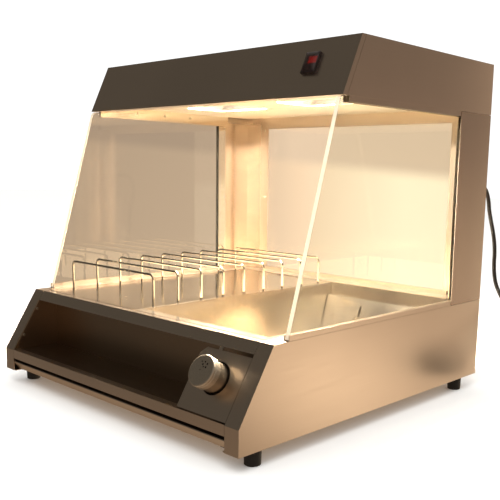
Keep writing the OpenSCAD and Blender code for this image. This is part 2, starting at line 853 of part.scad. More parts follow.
module column() {
  x1 = half_w;
  x0 = half_w - column_back;
  z0 = column_z0;
  z1 = hood_low_z;
  strip_x = rear_glass_x + 18.5;
  difference() {
    union() {
      // outer skin with an open seam above and below
      translate([0, 0, z0 + seam])
        linear_extrude(z1 - z0 - 2 * seam)
          polygon([[x1, column_y0], [x1, rear_y], [x0, rear_y], [x0, rear_y - sheet],
            [x1 - sheet, rear_y - sheet], [x1 - sheet, column_y0]]);
      // inner skin
      translate([0, 0, z0])
        linear_extrude(z1 - z0)
          polygon([[x1 - sheet, side_glass_y1 + 1], [x1 - sheet, rear_y - sheet],
            [strip_x, rear_y - sheet], [strip_x, column_in_y],
            [column_in_x, column_in_y], [column_in_x, side_glass_y1 + 1]]);
    }
    // hollow between the skins
    translate([0, 0, z0 - 1])
      linear_extrude(z1 - z0 + 2)
        polygon([[x1 - sheet - 0.1, side_glass_y1 + 2.2], [x1 - sheet - 0.1, rear_y - sheet - 0.1],
          [strip_x + 1.2, rear_y - sheet - 0.1], [strip_x + 1.2, column_in_y + 1.2],
          [column_in_x + 1.2, column_in_y + 1.2], [column_in_x + 1.2, side_glass_y1 + 2.2]]);
    for (z = column_clamp_z)
      translate([column_in_x, side_clamp_flange_y, z])
        rotate([0, -90, 0])
          screw_hole(2);
    for (z = frame_screw_z)
      translate([frame_screw_x, rear_glass_y1, z])
        rotate([90, 0, 0])
          screw_hole(1);
  }
}

module column_left() {
  color(steel)
    mirror([1, 0, 0])
      column();
}

module column_right() {
  color(steel)
    difference() {
      column();
      gland_bore();
    }
}

duct_size = 24;

// Folded cover over the wires in the corner of the right column
module wiring_duct() {
  x0 = column_in_x - duct_size;
  y0 = column_in_y - duct_size;
  color(steel)
    translate([0, 0, base_top_z])
      linear_extrude(hood_low_z - base_top_z)
        difference() {
          polygon([[x0, y0], [column_in_x - 0.05, y0], [column_in_x - 0.05, y0 + sheet],
            [x0 + sheet, y0 + sheet], [x0 + sheet, column_in_y - 0.05], [x0, column_in_y - 0.05]]);
        }
}

// ---- Glass and what holds it ----

// Upper front corner of the side glass, rounded
glass_corner_r = 9;

function glass_outline() =
  let (a = [glass_foot_y, glass_z0], b = [glass_head_y, glass_z1],
    d = (b - a) / norm(b - a), lean = atan2(d[1], d[0]),
    p = b - d * glass_corner_r * tan(lean / 2),
    n = [d[1], -d[0]],
    c = p + n * glass_corner_r)
  concat([a, p],
    [for (t = [1:5]) c + glass_corner_r * [cos(lean + 90 - t * lean / 6), sin(lean + 90 - t * lean / 6)]],
    [[c[0], glass_z1], [side_glass_y1, glass_z1], [side_glass_y1, glass_z0]]);

module side_glass_right() {
  color(glass)
    across(side_glass_x0, side_glass_x1)
      polygon(glass_outline());
}

module side_glass_left() {
  mirror([1, 0, 0])
    side_glass_right();
}

module rear_glass() {
  color(glass)
    block([-rear_glass_x + 0.5, rear_glass_y0, glass_z0],
      [rear_glass_x - 0.5, rear_glass_y1, glass_z1]);
}

// Channel section that holds the side glass, open upward from height z
module channel_outline(z, up) {
  x0 = side_glass_x0 - glass_play - sheet;
  x1 = side_glass_x1 + glass_play + sheet;
  polygon([[x0, z], [x1, z], [x1, z + up * glass_rail_h],
    [x1 - sheet, z + up * glass_rail_h], [x1 - sheet, z + up * sheet],
    [x0 + sheet, z + up * sheet], [x0 + sheet, z + up * glass_rail_h],
    [x0, z + up * glass_rail_h]]);
}

module base_glass_rails() {
  rail_y1 = column_y0 - 0.3;
  color(steel)
    union() {
      both_sides()
        along(glass_foot_y - 1, rail_y1)
          channel_outline(base_top_z, 1);
      // channel under the rear glass
      across(-rear_glass_x, rear_glass_x)
        polygon([[rear_y - 0.3, base_top_z], [rear_y - 0.3, base_top_z + glass_rail_h],
          [rear_glass_y1 + glass_play - 0.1, base_top_z + glass_rail_h],
          [rear_glass_y1 + glass_play - 0.1, base_top_z + sheet],
          [rear_glass_y0 - glass_play, base_top_z + sheet],
          [rear_glass_y0 - glass_play, base_top_z + glass_rail_h],
          [rear_glass_y0 - glass_play - sheet, base_top_z + glass_rail_h],
          [rear_glass_y0 - glass_play - sheet, base_top_z]]);
    }
}

module top_glass_rails() {
  color(steel)
    both_sides()
      along(glass_head_y + 18, column_y0 - 0.3)
        channel_outline(hood_low_z, -1);
}

// Strips inside the case that clamp the rear edge and the top edge of each side glass
module side_glass_clamps() {
  x1 = side_glass_x0 - glass_play;
  x0 = x1 - sheet;
  flange_x = column_in_x;
  y0 = column_y0 + 0.6;
  z1 = clamp_z0 - 0.5;
  color(steel_bright)
    both_sides()
      difference() {
        translate([0, 0, base_top_z + glass_rail_h + 0.5])
          linear_extrude(z1 - base_top_z - glass_rail_h - 0.5)
            polygon([[x0, y0], [x1, y0], [x1, side_glass_y1 + 1.5],
              [flange_x, side_glass_y1 + 1.5], [flange_x, side_glass_y1 + 13],
              [flange_x - sheet, side_glass_y1 + 13], [flange_x - sheet, side_glass_y1 + 3],
              [x0, side_glass_y1 + 3]]);
        for (z = column_clamp_z)
          translate([flange_x - sheet, side_clamp_flange_y, z])
            rotate([0, -90, 0])
              screw_hole(4);
      }
  color(steel_bright)
    both_sides()
      difference() {
        block([clamp_x0, glass_head_y + 14, clamp_z0],
          [clamp_x0 + sheet, side_glass_y1 + 13, ceiling_z - 0.2]);
        for (y = top_clamp_y)
          translate([clamp_x0, y, hood_low_z + 2])
            rotate([0, -90, 0])
              screw_hole(3);
      }
}

// Mitred strips round the rear glass
module rear_glass_frame() {
  y1 = rear_glass_y0 - glass_play;
  y0 = y1 - sheet;
  x1 = rear_glass_x + 18;
  x0 = x1 - frame_strip_w;
  zt = ceiling_z - 0.2;
  zb = zt - frame_strip_w;
  gap = 0.3;
  color(steel)
    difference() {
      union() {
        both_sides()
          along(y0, y1)
            polygon([[x0, base_top_z + glass_rail_h + 0.5], [x1, base_top_z + glass_rail_h + 0.5],
              [x1, zt - gap], [x0, zb - gap]]);
        both_sides()
          block([x1 - sheet, y1 - tiny, base_top_z + glass_rail_h + 0.5],
            [x1, rear_y - sheet - 0.05, hood_low_z - 1]);
        along(y0, y1)
          polygon([[-x0, zb], [x0, zb], [x1 - gap, zt], [-x1 + gap, zt]]);
      }
      both_sides()
        for (z = frame_screw_z)
          translate([frame_screw_x, y0, z])
            rotate([90, 0, 0])
              screw_hole(3);
    }
}

// ---- Hood ----

module hood_front() {
  dy = sheet / sin(hood_a);
  color(steel_dark)
    difference() {
      union() {
        across(-half_w, half_w)
          hood_sheet(hood_low_z, hood_top_z);
        // returns round the sides
        both_sides()
          across(half_w - sheet, half_w)
            hood_sheet(hood_low_z, hood_top_z, hood_return * sin(hood_a));
        // flange under the hood
        block([-half_w + sheet, hood_y(hood_low_z) + dy / 2, hood_low_z],
          [half_w - sheet, ceiling_y0 + sheet, hood_low_z + sheet]);
        // flange tucked under the top
        block([-half_w + sheet, hood_y(hood_top_z) - 0.5, hood_top_z - 2 * sheet],
          [half_w - sheet, hood_y(hood_top_z) + 16, hood_top_z - sheet]);
      }
      on_hood(switch_x, hood_low_z + switch_up)
        translate([-11, -15, -10])
          cube([22, 30, 20]);
      // notches that let the glass clamps through
      both_sides()
        block([clamp_x0 - 0.3, glass_head_y + 13.5, hood_low_z - 1],
          [clamp_x0 + 2.2, ceiling_y0 + 5, hood_low_z + 4]);
    }
}

module hood_side_right() {
  color(steel)
    difference() {
      union() {
        across(half_w - sheet, half_w)
          polygon([[hood_y(hood_low_z) + hood_return + 0.5, hood_low_z],
            [hood_y(hood_top_z) + hood_return + 0.5, hood_top_z],
            [rear_y, hood_top_z], [rear_y, hood_low_z]]);
        // bottom flange
        block([side_glass_x0 - 1.2, ceiling_y0 + sheet + 0.5, hood_low_z],
          [half_w - sheet + tiny, rear_panel_y - 2 * sheet, hood_low_z + sheet]);
        // rear flange
        block([half_w - 20, rear_panel_y - 2 * sheet, hood_low_z],
          [half_w - sheet + tiny, rear_panel_y - sheet, hood_top_z - 2 * sheet]);
      }
      for (z = [hood_low_z + 22, hood_low_z + 68])
        translate([half_w - 12, rear_panel_y, z])
          rotate([-90, 0, 0])
            screw_hole(6);
      translate([column_in_x - 12, column_in_y - 12, hood_low_z - 5])
        cylinder(r = 7, h = 10);
    }
}

module hood_side_left() {
  mirror([1, 0, 0])
    hood_side_right();
}

module hood_top() {
  y0 = hood_y(hood_top_z) + 0.4;
  color(steel)
    union() {
      block([-half_w + sheet + 0.1, y0 + sheet, hood_top_z - sheet],
        [half_w - sheet - 0.1, rear_y, hood_top_z]);
      block([-half_w + sheet + 0.1, rear_y - sheet, hood_top_z - 14],
        [half_w - sheet - 0.1, rear_y, hood_top_z - sheet + tiny]);
    }
}

module hood_rear_panel() {
  color(steel)
    difference() {
      block([-half_w + sheet + 0.3, rear_panel_y - sheet, hood_low_z],
        [half_w - sheet - 0.3, rear_panel_y, hood_top_z - 2 * sheet]);
      for (z = [hood_low_z + 22, hood_low_z + 68])
        for (s = [-1, 1])
          translate([s * (half_w - 12), rear_panel_y, z])
            rotate([-90, 0, 0])
              screw_hole(4);
      for (i = [0:5])
        for (s = [-1, 1])
          block([s * 150 - 50, rear_panel_y - 5, hood_low_z + 26 + i * 7],
            [s * 150 + 50, rear_panel_y + 1, hood_low_z + 29 + i * 7]);
    }
}

lamp_y = front_y + lamp_back;

module lamp_opening(x, grow, z0, z1) {
  block([x - lamp_l / 2 - grow, lamp_y - lamp_d / 2 - grow, z0],
    [x + lamp_l / 2 + grow, lamp_y + lamp_d / 2 + grow, z1]);
}

module hood_ceiling() {
  color(steel_bright)
    difference() {
      union() {
        block([-ceiling_x, ceiling_y0, ceiling_z], [ceiling_x, ceiling_y1, ceiling_z + sheet]);
        // riser behind the front flange
        block([-ceiling_x, ceiling_y0, hood_low_z + sheet],
          [ceiling_x, ceiling_y0 + sheet, ceiling_z + tiny]);
      }
      for (s = [-1, 1])
        lamp_opening(s * lamp_x, 0, ceiling_z - 1, ceiling_z + 5);
      // corner notch for the wires
      block([wire_x - 5, wire_y - 5, ceiling_z - 1], [ceiling_x + 1, ceiling_y1 + 1, ceiling_z + 3]);
    }
}

reflector_h = 44;

// Section of a reflector: a trough that narrows upward, shrunk by w
module reflector_section(w) {
  d = lamp_d / 2 - w;
  top = lamp_d / 2 - 24 - w;
  z0 = ceiling_z + sheet;
  polygon([[lamp_y - d, z0 - (w > 0 ? 1 : 0)], [lamp_y - top, z0 + reflector_h - w],
    [lamp_y + top, z0 + reflector_h - w], [lamp_y + d, z0 - (w > 0 ? 1 : 0)]]);
}

module lamp_reflectors() {
  wall = 0.8;
  z0 = ceiling_z + sheet;
  color("silver")
    for (s = [-1, 1])
      difference() {
        union() {
          across(s * lamp_x - lamp_l / 2, s * lamp_x + lamp_l / 2)
            reflector_section(0);
          lamp_opening(s * lamp_x, 8, z0, z0 + wall);
        }
        across(s * lamp_x - lamp_l / 2 + wall, s * lamp_x + lamp_l / 2 - wall)
          reflector_section(wall);
        for (e = [-1, 1])
          translate([s * lamp_x + e * lamp_l / 2 - 3, lamp_y, lamp_z])
            rotate([0, 90, 0])
              cylinder(r = 7, h = 6);
      }
}

lamp_z = ceiling_z + 22;
tube_r = 5;

module heat_lamps() {
  color("#ffd27a")
    for (s = [-1, 1])
      translate([s * lamp_x - 54, lamp_y, lamp_z])
        rotate([0, 90, 0])
          cylinder(r = tube_r, h = 108);
}

module lamp_holders() {
  color(ceramic)
    for (s = [-1, 1])
      for (e = [-1, 1])
        difference() {
          translate([s * lamp_x + e * 69, lamp_y, lamp_z])
            rotate([0, 90, 0])
              cylinder(r = 6.8, h = 30, center = true);
          translate([s * lamp_x - 54.1, lamp_y, lamp_z])
            rotate([0, 90, 0])
              cylinder(r = tube_r + 0.1, h = 108.2);
        }
}

// ---- Switch ----

bezel_w = 25;
bezel_l = 33;
rocker_pin_r = 1.5;

module switch_bezel() {
  color(black)
    on_hood(switch_x, hood_low_z + switch_up)
      difference() {
        union() {
          translate([-bezel_w / 2, -bezel_l / 2, 0])
            cube([bezel_w, bezel_l, 2.4]);
          translate([-10.9, -14.9, -18])
            cube([21.8, 29.8, 18 + tiny]);
          // terminals
          for (i = [-1, 0, 1])
            translate([-3, i * 9 - 0.4, -26])
              cube([6, 0.8, 8 + tiny]);
        }
        difference() {
          translate([-8.6, -12.8, -14])
            cube([17.2, 25.6, 20]);
          // pin that the rocker turns on
          translate([-9, 0, -2])
            rotate([0, 90, 0])
              cylinder(r = rocker_pin_r, h = 18, $fn = 24);
        }
      }
}

module switch_rocker() {
  color("#c3261d")
    on_hood(switch_x, hood_low_z + switch_up)
      translate([0, 0, -2])
        rotate([-rocker_tilt, 0, 0])
          difference() {
            translate([-8.2, 0, 0])
              rotate([90, 0, 90])
                linear_extrude(16.4)
                  polygon([[-11.4, 5.4], [0, 3.8], [11.4, 5.4], [11.2, 2], [7, -4], [2.2, -6],
                    [-2.2, -6], [-7, -4], [-11.2, 2]]);
            translate([-9, 0, 0])
              rotate([0, 90, 0])
                cylinder(r = rocker_pin_r + 0.06, h = 18, $fn = 24);
          }
}

// Soft splash cover over the rocker, a hollow dome on the bezel
module switch_boot() {
  color([0.2, 0.15, 0.12, 0.5])
    on_hood(switch_x, hood_low_z + switch_up)
      difference() {
        boot_block(0, 10.5);
        translate([0, 0, -tiny])
          boot_block(1.2, 9.3);
      }
}

// Rounded block of the splash cover, drawn in by w
module boot_block(w, h) {
  bw = bezel_w / 2 + 1.5 - w;
  bl = bezel_l / 2 + 1.5 - w;
  intersection() {
    translate([-bw, -bl, 0])
      cube([2 * bw, 2 * bl, h]);
    rotate([90, 0, 90])
      translate([0, 0, -bw])
        linear_extrude(2 * bw)
          intersection() {
            translate([0, h - 34])
              circle(r = 34, $fn = 96);
            translate([-bl, 0])
              square([2 * bl, h]);
          }
    translate([0, bl, 0])
      rotate([90, 0, 0])
        linear_extrude(2 * bl)
          intersection() {
            translate([0, h - 22])
              circle(r = 22, $fn = 96);
            translate([-bw, 0])
              square([2 * bw, h]);
          }
  }
}

// ---- Wiring ----

wire_x = column_in_x - 12;
wire_y = column_in_y - 12;
terminal_z = heater_plate_z + sheet;

module rod(a, b, r) {
  v = b - a;
  translate(a)
    rotate([0, acos(v[2] / norm(v)), atan2(v[1], v[0])])
      cylinder(r = r, h = norm(v), $fn = 16);
}

// Loom from the terminal block up the duct to the lamps and the switch
module wiring() {
  top = [wire_x, wire_y, ceiling_z + 34];
  low = [wire_x, wire_y, heater_plate_z + 40];
  block_x = heater_x1 - 40;
  sw = [switch_x, hood_y(hood_low_z + switch_up) + 27 * sin(hood_a) + 1.5,
    hood_low_z + switch_up - 27 * cos(hood_a)];
  color(black) {
    rod(low, top, 3.2);
    for (p = [low, top])
      translate(p)
        sphere(r = 3.2, $fn = 24);
    rod(top, sw, 2.4);
    rod(low, [block_x + 20, wire_y, low[2]], 3.2);
    rod([block_x + 20, wire_y, low[2]], [block_x + 20, wire_y, terminal_z + 12], 3.2);
    translate([block_x + 20, wire_y, low[2]])
      sphere(r = 3.2, $fn = 24);
    rod(top, [lamp_x - lamp_l / 2 - 18, lamp_y + lamp_d / 2 + 20, top[2]], 2.4);
    // terminal block
    translate([block_x - 10, wire_y - 10, terminal_z])
      cube([50, 20, 14]);
  }
}

// ---- Screws ----

module screws() {
  color("#8d8474") {
    both_sides() {
      for (p = recess_screws)
        translate([recess_x, p[0], p[1]])
          rotate([0, -90, 0])
            screw(4);
      for (y = top_clamp_y)
        translate([clamp_x0, y, hood_low_z + 2])
          rotate([0, -90, 0])
            screw(1.4);
      for (z = column_clamp_z)
        translate([column_in_x - sheet, side_clamp_flange_y, z])
          rotate([0, -90, 0])
            screw(3);
      for (z = frame_screw_z)
        translate([frame_screw_x, rear_glass_y0 - glass_play - sheet, z])
          rotate([90, 0, 0])
            screw(8.4);
      for (z = [60, 140, hood_low_z + 22, hood_low_z + 68])
        translate([half_w - 12, rear_panel_y, z])
          rotate([-90, 0, 0])
            screw(5);
    }
    for (p = foot_places)
      translate([p[0] * foot_x, p[1], 0]) {
        translate([0, 0, 5.9])
          cylinder(r = 5, h = 4);
        translate([0, 0, 6])
          cylinder(r = foot_bolt_r, h = foot_h + 3);
        translate([0, 0, foot_h + 2 * sheet])
          cylinder(r = 5.5, h = 5, $fn = 6);
      }
  }
}

// ---- Mains cord ----

gland_x = half_w - 42;
sleeve_l = 42;

module gland_bore() {
  translate([gland_x, rear_y - 3, gland_z])
    rotate([-90, 0, 0])
      cylinder(r = 8.05, h = 6);
}

// Gland nut and the tapered sleeve that protects the cord where it leaves
module cord_gland() {
  color(black)
    translate([gland_x, rear_y, gland_z])
      rotate([-90, 0, 0])
        difference() {
          union() {
            cylinder(r = 11, h = 4);
            translate([0, 0, 4])
              rotate_extrude()
                polygon([[0, 0], [8.5, 0], [8.5, 5], [7.2, 9], [cord_d / 2 + 1.4, sleeve_l - 4],
                  [0, sleeve_l - 4]]);
            translate([0, 0, -sheet])
              cylinder(r = 8, h = 2);
          }
          translate([0, 0, -3])
            cylinder(r = cord_d / 2 + 0.05, h = sleeve_l + 6);
        }
}

// Route of the hanging cord: X and Y from the middle of the gland's seat, Z from the counter
hang = [[0, 42, gland_z], [0, 58, gland_z], [0, 72, 390], [0, 83, 379], [1, 89, 363],
  [3, 91, 344], [8, 91, 324], [14, 90, 304], [19, 89, 283], [22, 88, 261], [23, 87, 239],
  [25, 87, 217], [30, 86, 198], [40, 84, 180], [53, 81, 162], [66, 77, 142], [77, 71, 120],
  [87, 64, 97], [95, 56, 73], [103, 47, 50], [114, 36, 30], [129, 24, 14], [147, 11, 5],
  [166, 1, 4], [182, -2, 4]];
cord_route = [for (p = hang) [gland_x + p[0], rear_y + p[1], p[2]]];
coil_centre = [gland_x + 182, rear_y + 49];
// The turns run on two circles, side by side, in three layers
coil_turn_r = 51;
coil_inner_r = coil_turn_r - 8.3 - cord_d / 2 - 0.3;
coil_outer_r = coil_turn_r + cord_d / 2 + 0.3;
coil_h = 3.05 * cord_d;
tail_l = 32;

function unit(v) = v / norm(v);
function tangent(p, i) = unit(p[min(i + 1, len(p) - 1)] - p[max(i - 1, 0)]);
function carry(n, t) = unit(n - t * (n * t));
function normals(p, i = 0, acc = []) =
  i == len(p) ? acc
  : normals(p, i + 1, concat(acc, [carry(i == 0 ? [1, 0, 0] : acc[i - 1], tangent(p, i))]));

// A tube of radius r swept along the points p, with n sides
module swept_tube(p, r, n) {
  side = normals(p);
  rings = [for (i = [0:len(p) - 1])
    let (t = tangent(p, i), u = side[i], v = cross(t, u))
    for (k = [0:n - 1])
      p[i] + r * (cos(360 * k / n) * u + sin(360 * k / n) * v)];
  walls = [for (i = [0:len(p) - 2])
    for (k = [0:n - 1])
      let (a = i * n + k, b = i * n + (k + 1) % n)
        [a, a + n, b + n, b]];
  polyhedron(rings, concat([[for (k = [0:n - 1]) k]], walls,
    [[for (k = [n - 1:-1:0]) (len(p) - 1) * n + k]]), convexity = 4);
}

module cord() {
  color(rubber)
    swept_tube(cord_route, cord_d / 2, 10);
}

// Outer shape of the coiled length, which lies on the counter, and its straight end
module cord_coil() {
  color(rubber)
    translate([coil_centre[0], coil_centre[1], 0]) {
      translate([coil_turn_r, 0, plug_r])
        rotate([-90, 0, 0])
          cylinder(r = cord_d / 2, h = tail_l);
      rotate_extrude($fn = 64)
        polygon([[coil_inner_r, 2], [coil_inner_r + 2, 0], [coil_outer_r - 2, 0],
          [coil_outer_r, 2], [coil_outer_r, coil_h - 2], [coil_outer_r - 2, coil_h],
          [coil_inner_r + 2, coil_h], [coil_inner_r, coil_h - 2]]);
    }
}

plug_r = 18.5;

// Plug at rest beside the coil: sleeve, body and two round pins
module mains_plug() {
  color(rubber)
    translate([coil_centre[0] + coil_turn_r, coil_centre[1] + tail_l, plug_r])
      rotate([-90, 0, 0])
        rotate_extrude()
          polygon([[0, 0], [5.4, 0], [8, 26], [13, 34], [15, 46], [plug_r, 50], [plug_r, 60], [0, 60]]);
  color(brass)
    for (s = [-1, 1])
      translate([coil_centre[0] + coil_turn_r + s * 9.5, coil_centre[1] + tail_l + 60 - tiny, plug_r])
        rotate([-90, 0, 0])
          cylinder(r = 2.4, h = 19, $fn = 24);
}

base_side_left();
base_side_right();
front_top_rail();
storage_recess();
lower_front_rail();
shaker_holder();
shaker_body();
shaker_cap();
crumb_tray();
tray_runners();
base_floor();
foot(foot_places[0][0], foot_places[0][1]);  // foot_front_left
foot(foot_places[1][0], foot_places[1][1]);  // foot_front_right
foot(foot_places[2][0], foot_places[2][1]);  // foot_rear_left
foot(foot_places[3][0], foot_places[3][1]);  // foot_rear_right
base_rear_panel();
deck_frame();
rack_deck();
hoop(0);  // hoop_1
hoop(1);  // hoop_2
hoop(2);  // hoop_3
hoop(3);  // hoop_4
hoop(4);  // hoop_5
hoop(5);  // hoop_6
hoop(6);  // hoop_7
hoop(7);  // hoop_8
hoop(8);  // hoop_9
chip_pan();
chip_ramp();
base_heater();
heater_tray();
limit_thermostat();
column_left();
column_right();
wiring_duct();
side_glass_left();
side_glass_right();
rear_glass();
base_glass_rails();
top_glass_rails();
side_glass_clamps();
rear_glass_frame();
hood_front();
hood_side_left();
hood_side_right();
hood_top();
hood_rear_panel();
hood_ceiling();
lamp_reflectors();
heat_lamps();
lamp_holders();
switch_bezel();
switch_rocker();
switch_boot();
wiring();
screws();
cord_gland();
cord();
cord_coil();
mains_plug();
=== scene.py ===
"""Looks for a countertop hot food display case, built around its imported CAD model."""

import math

import bmesh
import bpy
from bpy.props import FloatProperty, FloatVectorProperty, PointerProperty, StringProperty
from mathutils import Matrix, Vector


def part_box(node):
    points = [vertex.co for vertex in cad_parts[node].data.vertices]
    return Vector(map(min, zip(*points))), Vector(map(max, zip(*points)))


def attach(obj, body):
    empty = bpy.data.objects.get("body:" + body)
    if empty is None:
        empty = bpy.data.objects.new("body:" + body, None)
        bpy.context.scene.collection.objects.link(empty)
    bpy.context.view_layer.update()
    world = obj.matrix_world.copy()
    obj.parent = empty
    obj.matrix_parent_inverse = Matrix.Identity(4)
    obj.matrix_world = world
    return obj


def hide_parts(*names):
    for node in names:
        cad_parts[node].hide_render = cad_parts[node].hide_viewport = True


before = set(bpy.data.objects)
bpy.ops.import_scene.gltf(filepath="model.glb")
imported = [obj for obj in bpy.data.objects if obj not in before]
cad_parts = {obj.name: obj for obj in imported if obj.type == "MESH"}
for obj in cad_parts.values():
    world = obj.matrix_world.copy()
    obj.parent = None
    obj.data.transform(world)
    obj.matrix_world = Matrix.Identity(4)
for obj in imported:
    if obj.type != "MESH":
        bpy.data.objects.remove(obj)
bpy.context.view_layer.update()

bl_info = {
    "name": "Hot Food Display Case",
    "version": (1, 0, 0),
    "blender": (4, 5, 0),
    "location": "View3D > Sidebar > Display Case",
    "description": "Dresses a heated display case: steel, glass, lamps, rack, switch and cord",
    "category": "Object",
}

MM = 0.001
CASE = "case"
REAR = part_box("base_side_right")[1].y


# ---------------------------------------------------------------- settings

class CaseCameraSettings(bpy.types.PropertyGroup):
    """Where the camera stands and what it frames"""
    place: FloatVectorProperty(
        name="Place", description="Where the camera stands", subtype="TRANSLATION", unit="LENGTH",
        default=(1.0370, -0.9938, 0.4158))
    turn: FloatProperty(
        name="Turn", description="Angle round the vertical, from facing the back",
        subtype="ANGLE", default=0.7472)
    tip: FloatProperty(
        name="Tip", description="Angle below the horizontal", subtype="ANGLE", default=0.1605)
    roll: FloatProperty(
        name="Roll", description="Lean of the camera", subtype="ANGLE", default=0.02)
    lens: FloatProperty(
        name="Lens", description="Focal length", subtype="DISTANCE_CAMERA", default=53.83)
    shift: FloatVectorProperty(
        name="Shift", description="Sideways and upward shift of the frame", size=2,
        default=(-0.0724, 0.0854))


class CaseSteelSettings(bpy.types.PropertyGroup):
    """Colours of the steel"""
    panel: StringProperty(name="Panel", description="Brushed panel steel, sRGB hex", default="#DCCFC0")
    bright: StringProperty(name="Bright", description="Bright annealed steel, sRGB hex", default="#E6DCCB")
    grain_width: FloatProperty(
        name="Grain Width", description="Width of a brush line as it is drawn",
        unit="LENGTH", default=0.9 * MM)
    grain_length: FloatProperty(
        name="Grain Length", description="Length of a brush line", unit="LENGTH", default=90 * MM)


class CaseGlassSettings(bpy.types.PropertyGroup):
    """Clear toughened glass"""
    body: StringProperty(name="Body", description="Tint of the glass, sRGB hex", default="#FBFDF8")
    edge: StringProperty(name="Edge", description="Ground edge, sRGB hex", default="#FFF3DC")


class CaseLampSettings(bpy.types.PropertyGroup):
    """Heat lamps"""
    colour: StringProperty(name="Colour", description="Light of the lamps, sRGB hex", default="#FFEBD2")
    tube_strength: FloatProperty(name="Tube Strength", description="Glow of a lamp tube", default=120.0)
    power: FloatProperty(
        name="Power", description="Light that one lamp throws down", unit="POWER", default=26.0)
    bounce: FloatProperty(
        name="Bounce", description="Light that the deck sends back up", unit="POWER", default=2.6)


class CaseCordSettings(bpy.types.PropertyGroup):
    """Mains cord"""
    diameter: FloatProperty(name="Diameter", description="Across the cord", unit="LENGTH", default=8 * MM)
    length: FloatProperty(name="Length", description="Whole length of the cord", unit="LENGTH", default=1.8)
    coil_radius: FloatProperty(
        name="Coil Radius", description="Radius of the coil's outer turns", unit="LENGTH", default=51 * MM)
    turn_gap: FloatProperty(
        name="Turn Gap", description="From one turn to the next beside it", unit="LENGTH", default=8.3 * MM)


class CaseStageSettings(bpy.types.PropertyGroup):
    """Floor, backdrop and lights"""
    floor: StringProperty(name="Floor", description="Colour of the floor, sRGB hex", default="#FAFAF8")
    air: FloatProperty(name="Air", description="Brightness of the room", default=1.15)
    key: FloatProperty(name="Key", description="Power of the main light", unit="POWER", default=40.0)


# ---------------------------------------------------------------- small tools

def hex_rgb(code):
    """Turns an sRGB hex colour into linear red, green, blue and full alpha."""
    parts = [int(code[i:i + 2], 16) / 255 for i in (1, 3, 5)]
    return tuple(p / 12.92 if p <= 0.04045 else ((p + 0.055) / 1.055) ** 2.4 for p in parts) + (1.0,)


def add_node(tree, kind, settings=None, links=None):
    """Adds a node. Settings hold attributes by name, socket values by number or label, and the stops
    of a colour ramp as (place, colour) pairs; links hold sources."""
    node = tree.nodes.new(kind)
    for key, value in (settings or {}).items():
        if key == "stops":
            while len(node.color_ramp.elements) < len(value):
                node.color_ramp.elements.new(0.5)
            for point, (place, colour) in zip(node.color_ramp.elements, value):
                point.position, point.color = place, colour
        elif isinstance(key, str) and hasattr(node, key) and key not in node.inputs:
            setattr(node, key, value)
        else:
            node.inputs[key].default_value = value
    for key, source in (links or {}).items():
        tree.links.new(source, node.inputs[key])
    return node


def new_material(name):
    """A material with an empty node tree, and that tree."""
    mat = bpy.data.materials.new(name)
    mat.use_nodes = True
    mat.node_tree.nodes.clear()
    return mat, mat.node_tree


def finish_material(mat, tree, shader):
    """Joins the shader to the output."""
    out = add_node(tree, "ShaderNodeOutputMaterial")
    tree.links.new(shader.outputs[0], out.inputs["Surface"])
    return mat


def grey(value):
    return (value, value, value, 1.0)


def dress(material, *nodes):
    """Gives CAD nodes a material, through their objects' slots."""
    for name in nodes:
        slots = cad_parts[name].material_slots
        if not slots:
            raise RuntimeError(name + " has no material slot")
        for slot in slots:
            slot.material = material


def make_piece(name, verts, faces, material, body=CASE, smooth_faces=False):
    """A new mesh piece that rides on a body."""
    mesh = bpy.data.meshes.new(name)
    mesh.from_pydata([tuple(v) for v in verts], [], faces)
    mesh.validate()
    mesh.materials.append(material)
    obj = bpy.data.objects.new(name, mesh)
    bpy.context.scene.collection.objects.link(obj)
    for face in mesh.polygons:
        face.use_smooth = smooth_faces
    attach(obj, body)
    return obj


def bar_mesh(rings):
    """Joins rings of equal length into a closed bar: vertices and faces."""
    n = len(rings[0])
    verts = [p for ring in rings for p in ring]
    faces = [tuple(range(n - 1, -1, -1)), tuple((len(rings) - 1) * n + k for k in range(n))]
    for i in range(len(rings) - 1):
        for k in range(n):
            a, b = i * n + k, i * n + (k + 1) % n
            faces.append((a, b, b + n, a + n))
    return verts, faces


# ---------------------------------------------------------------- materials

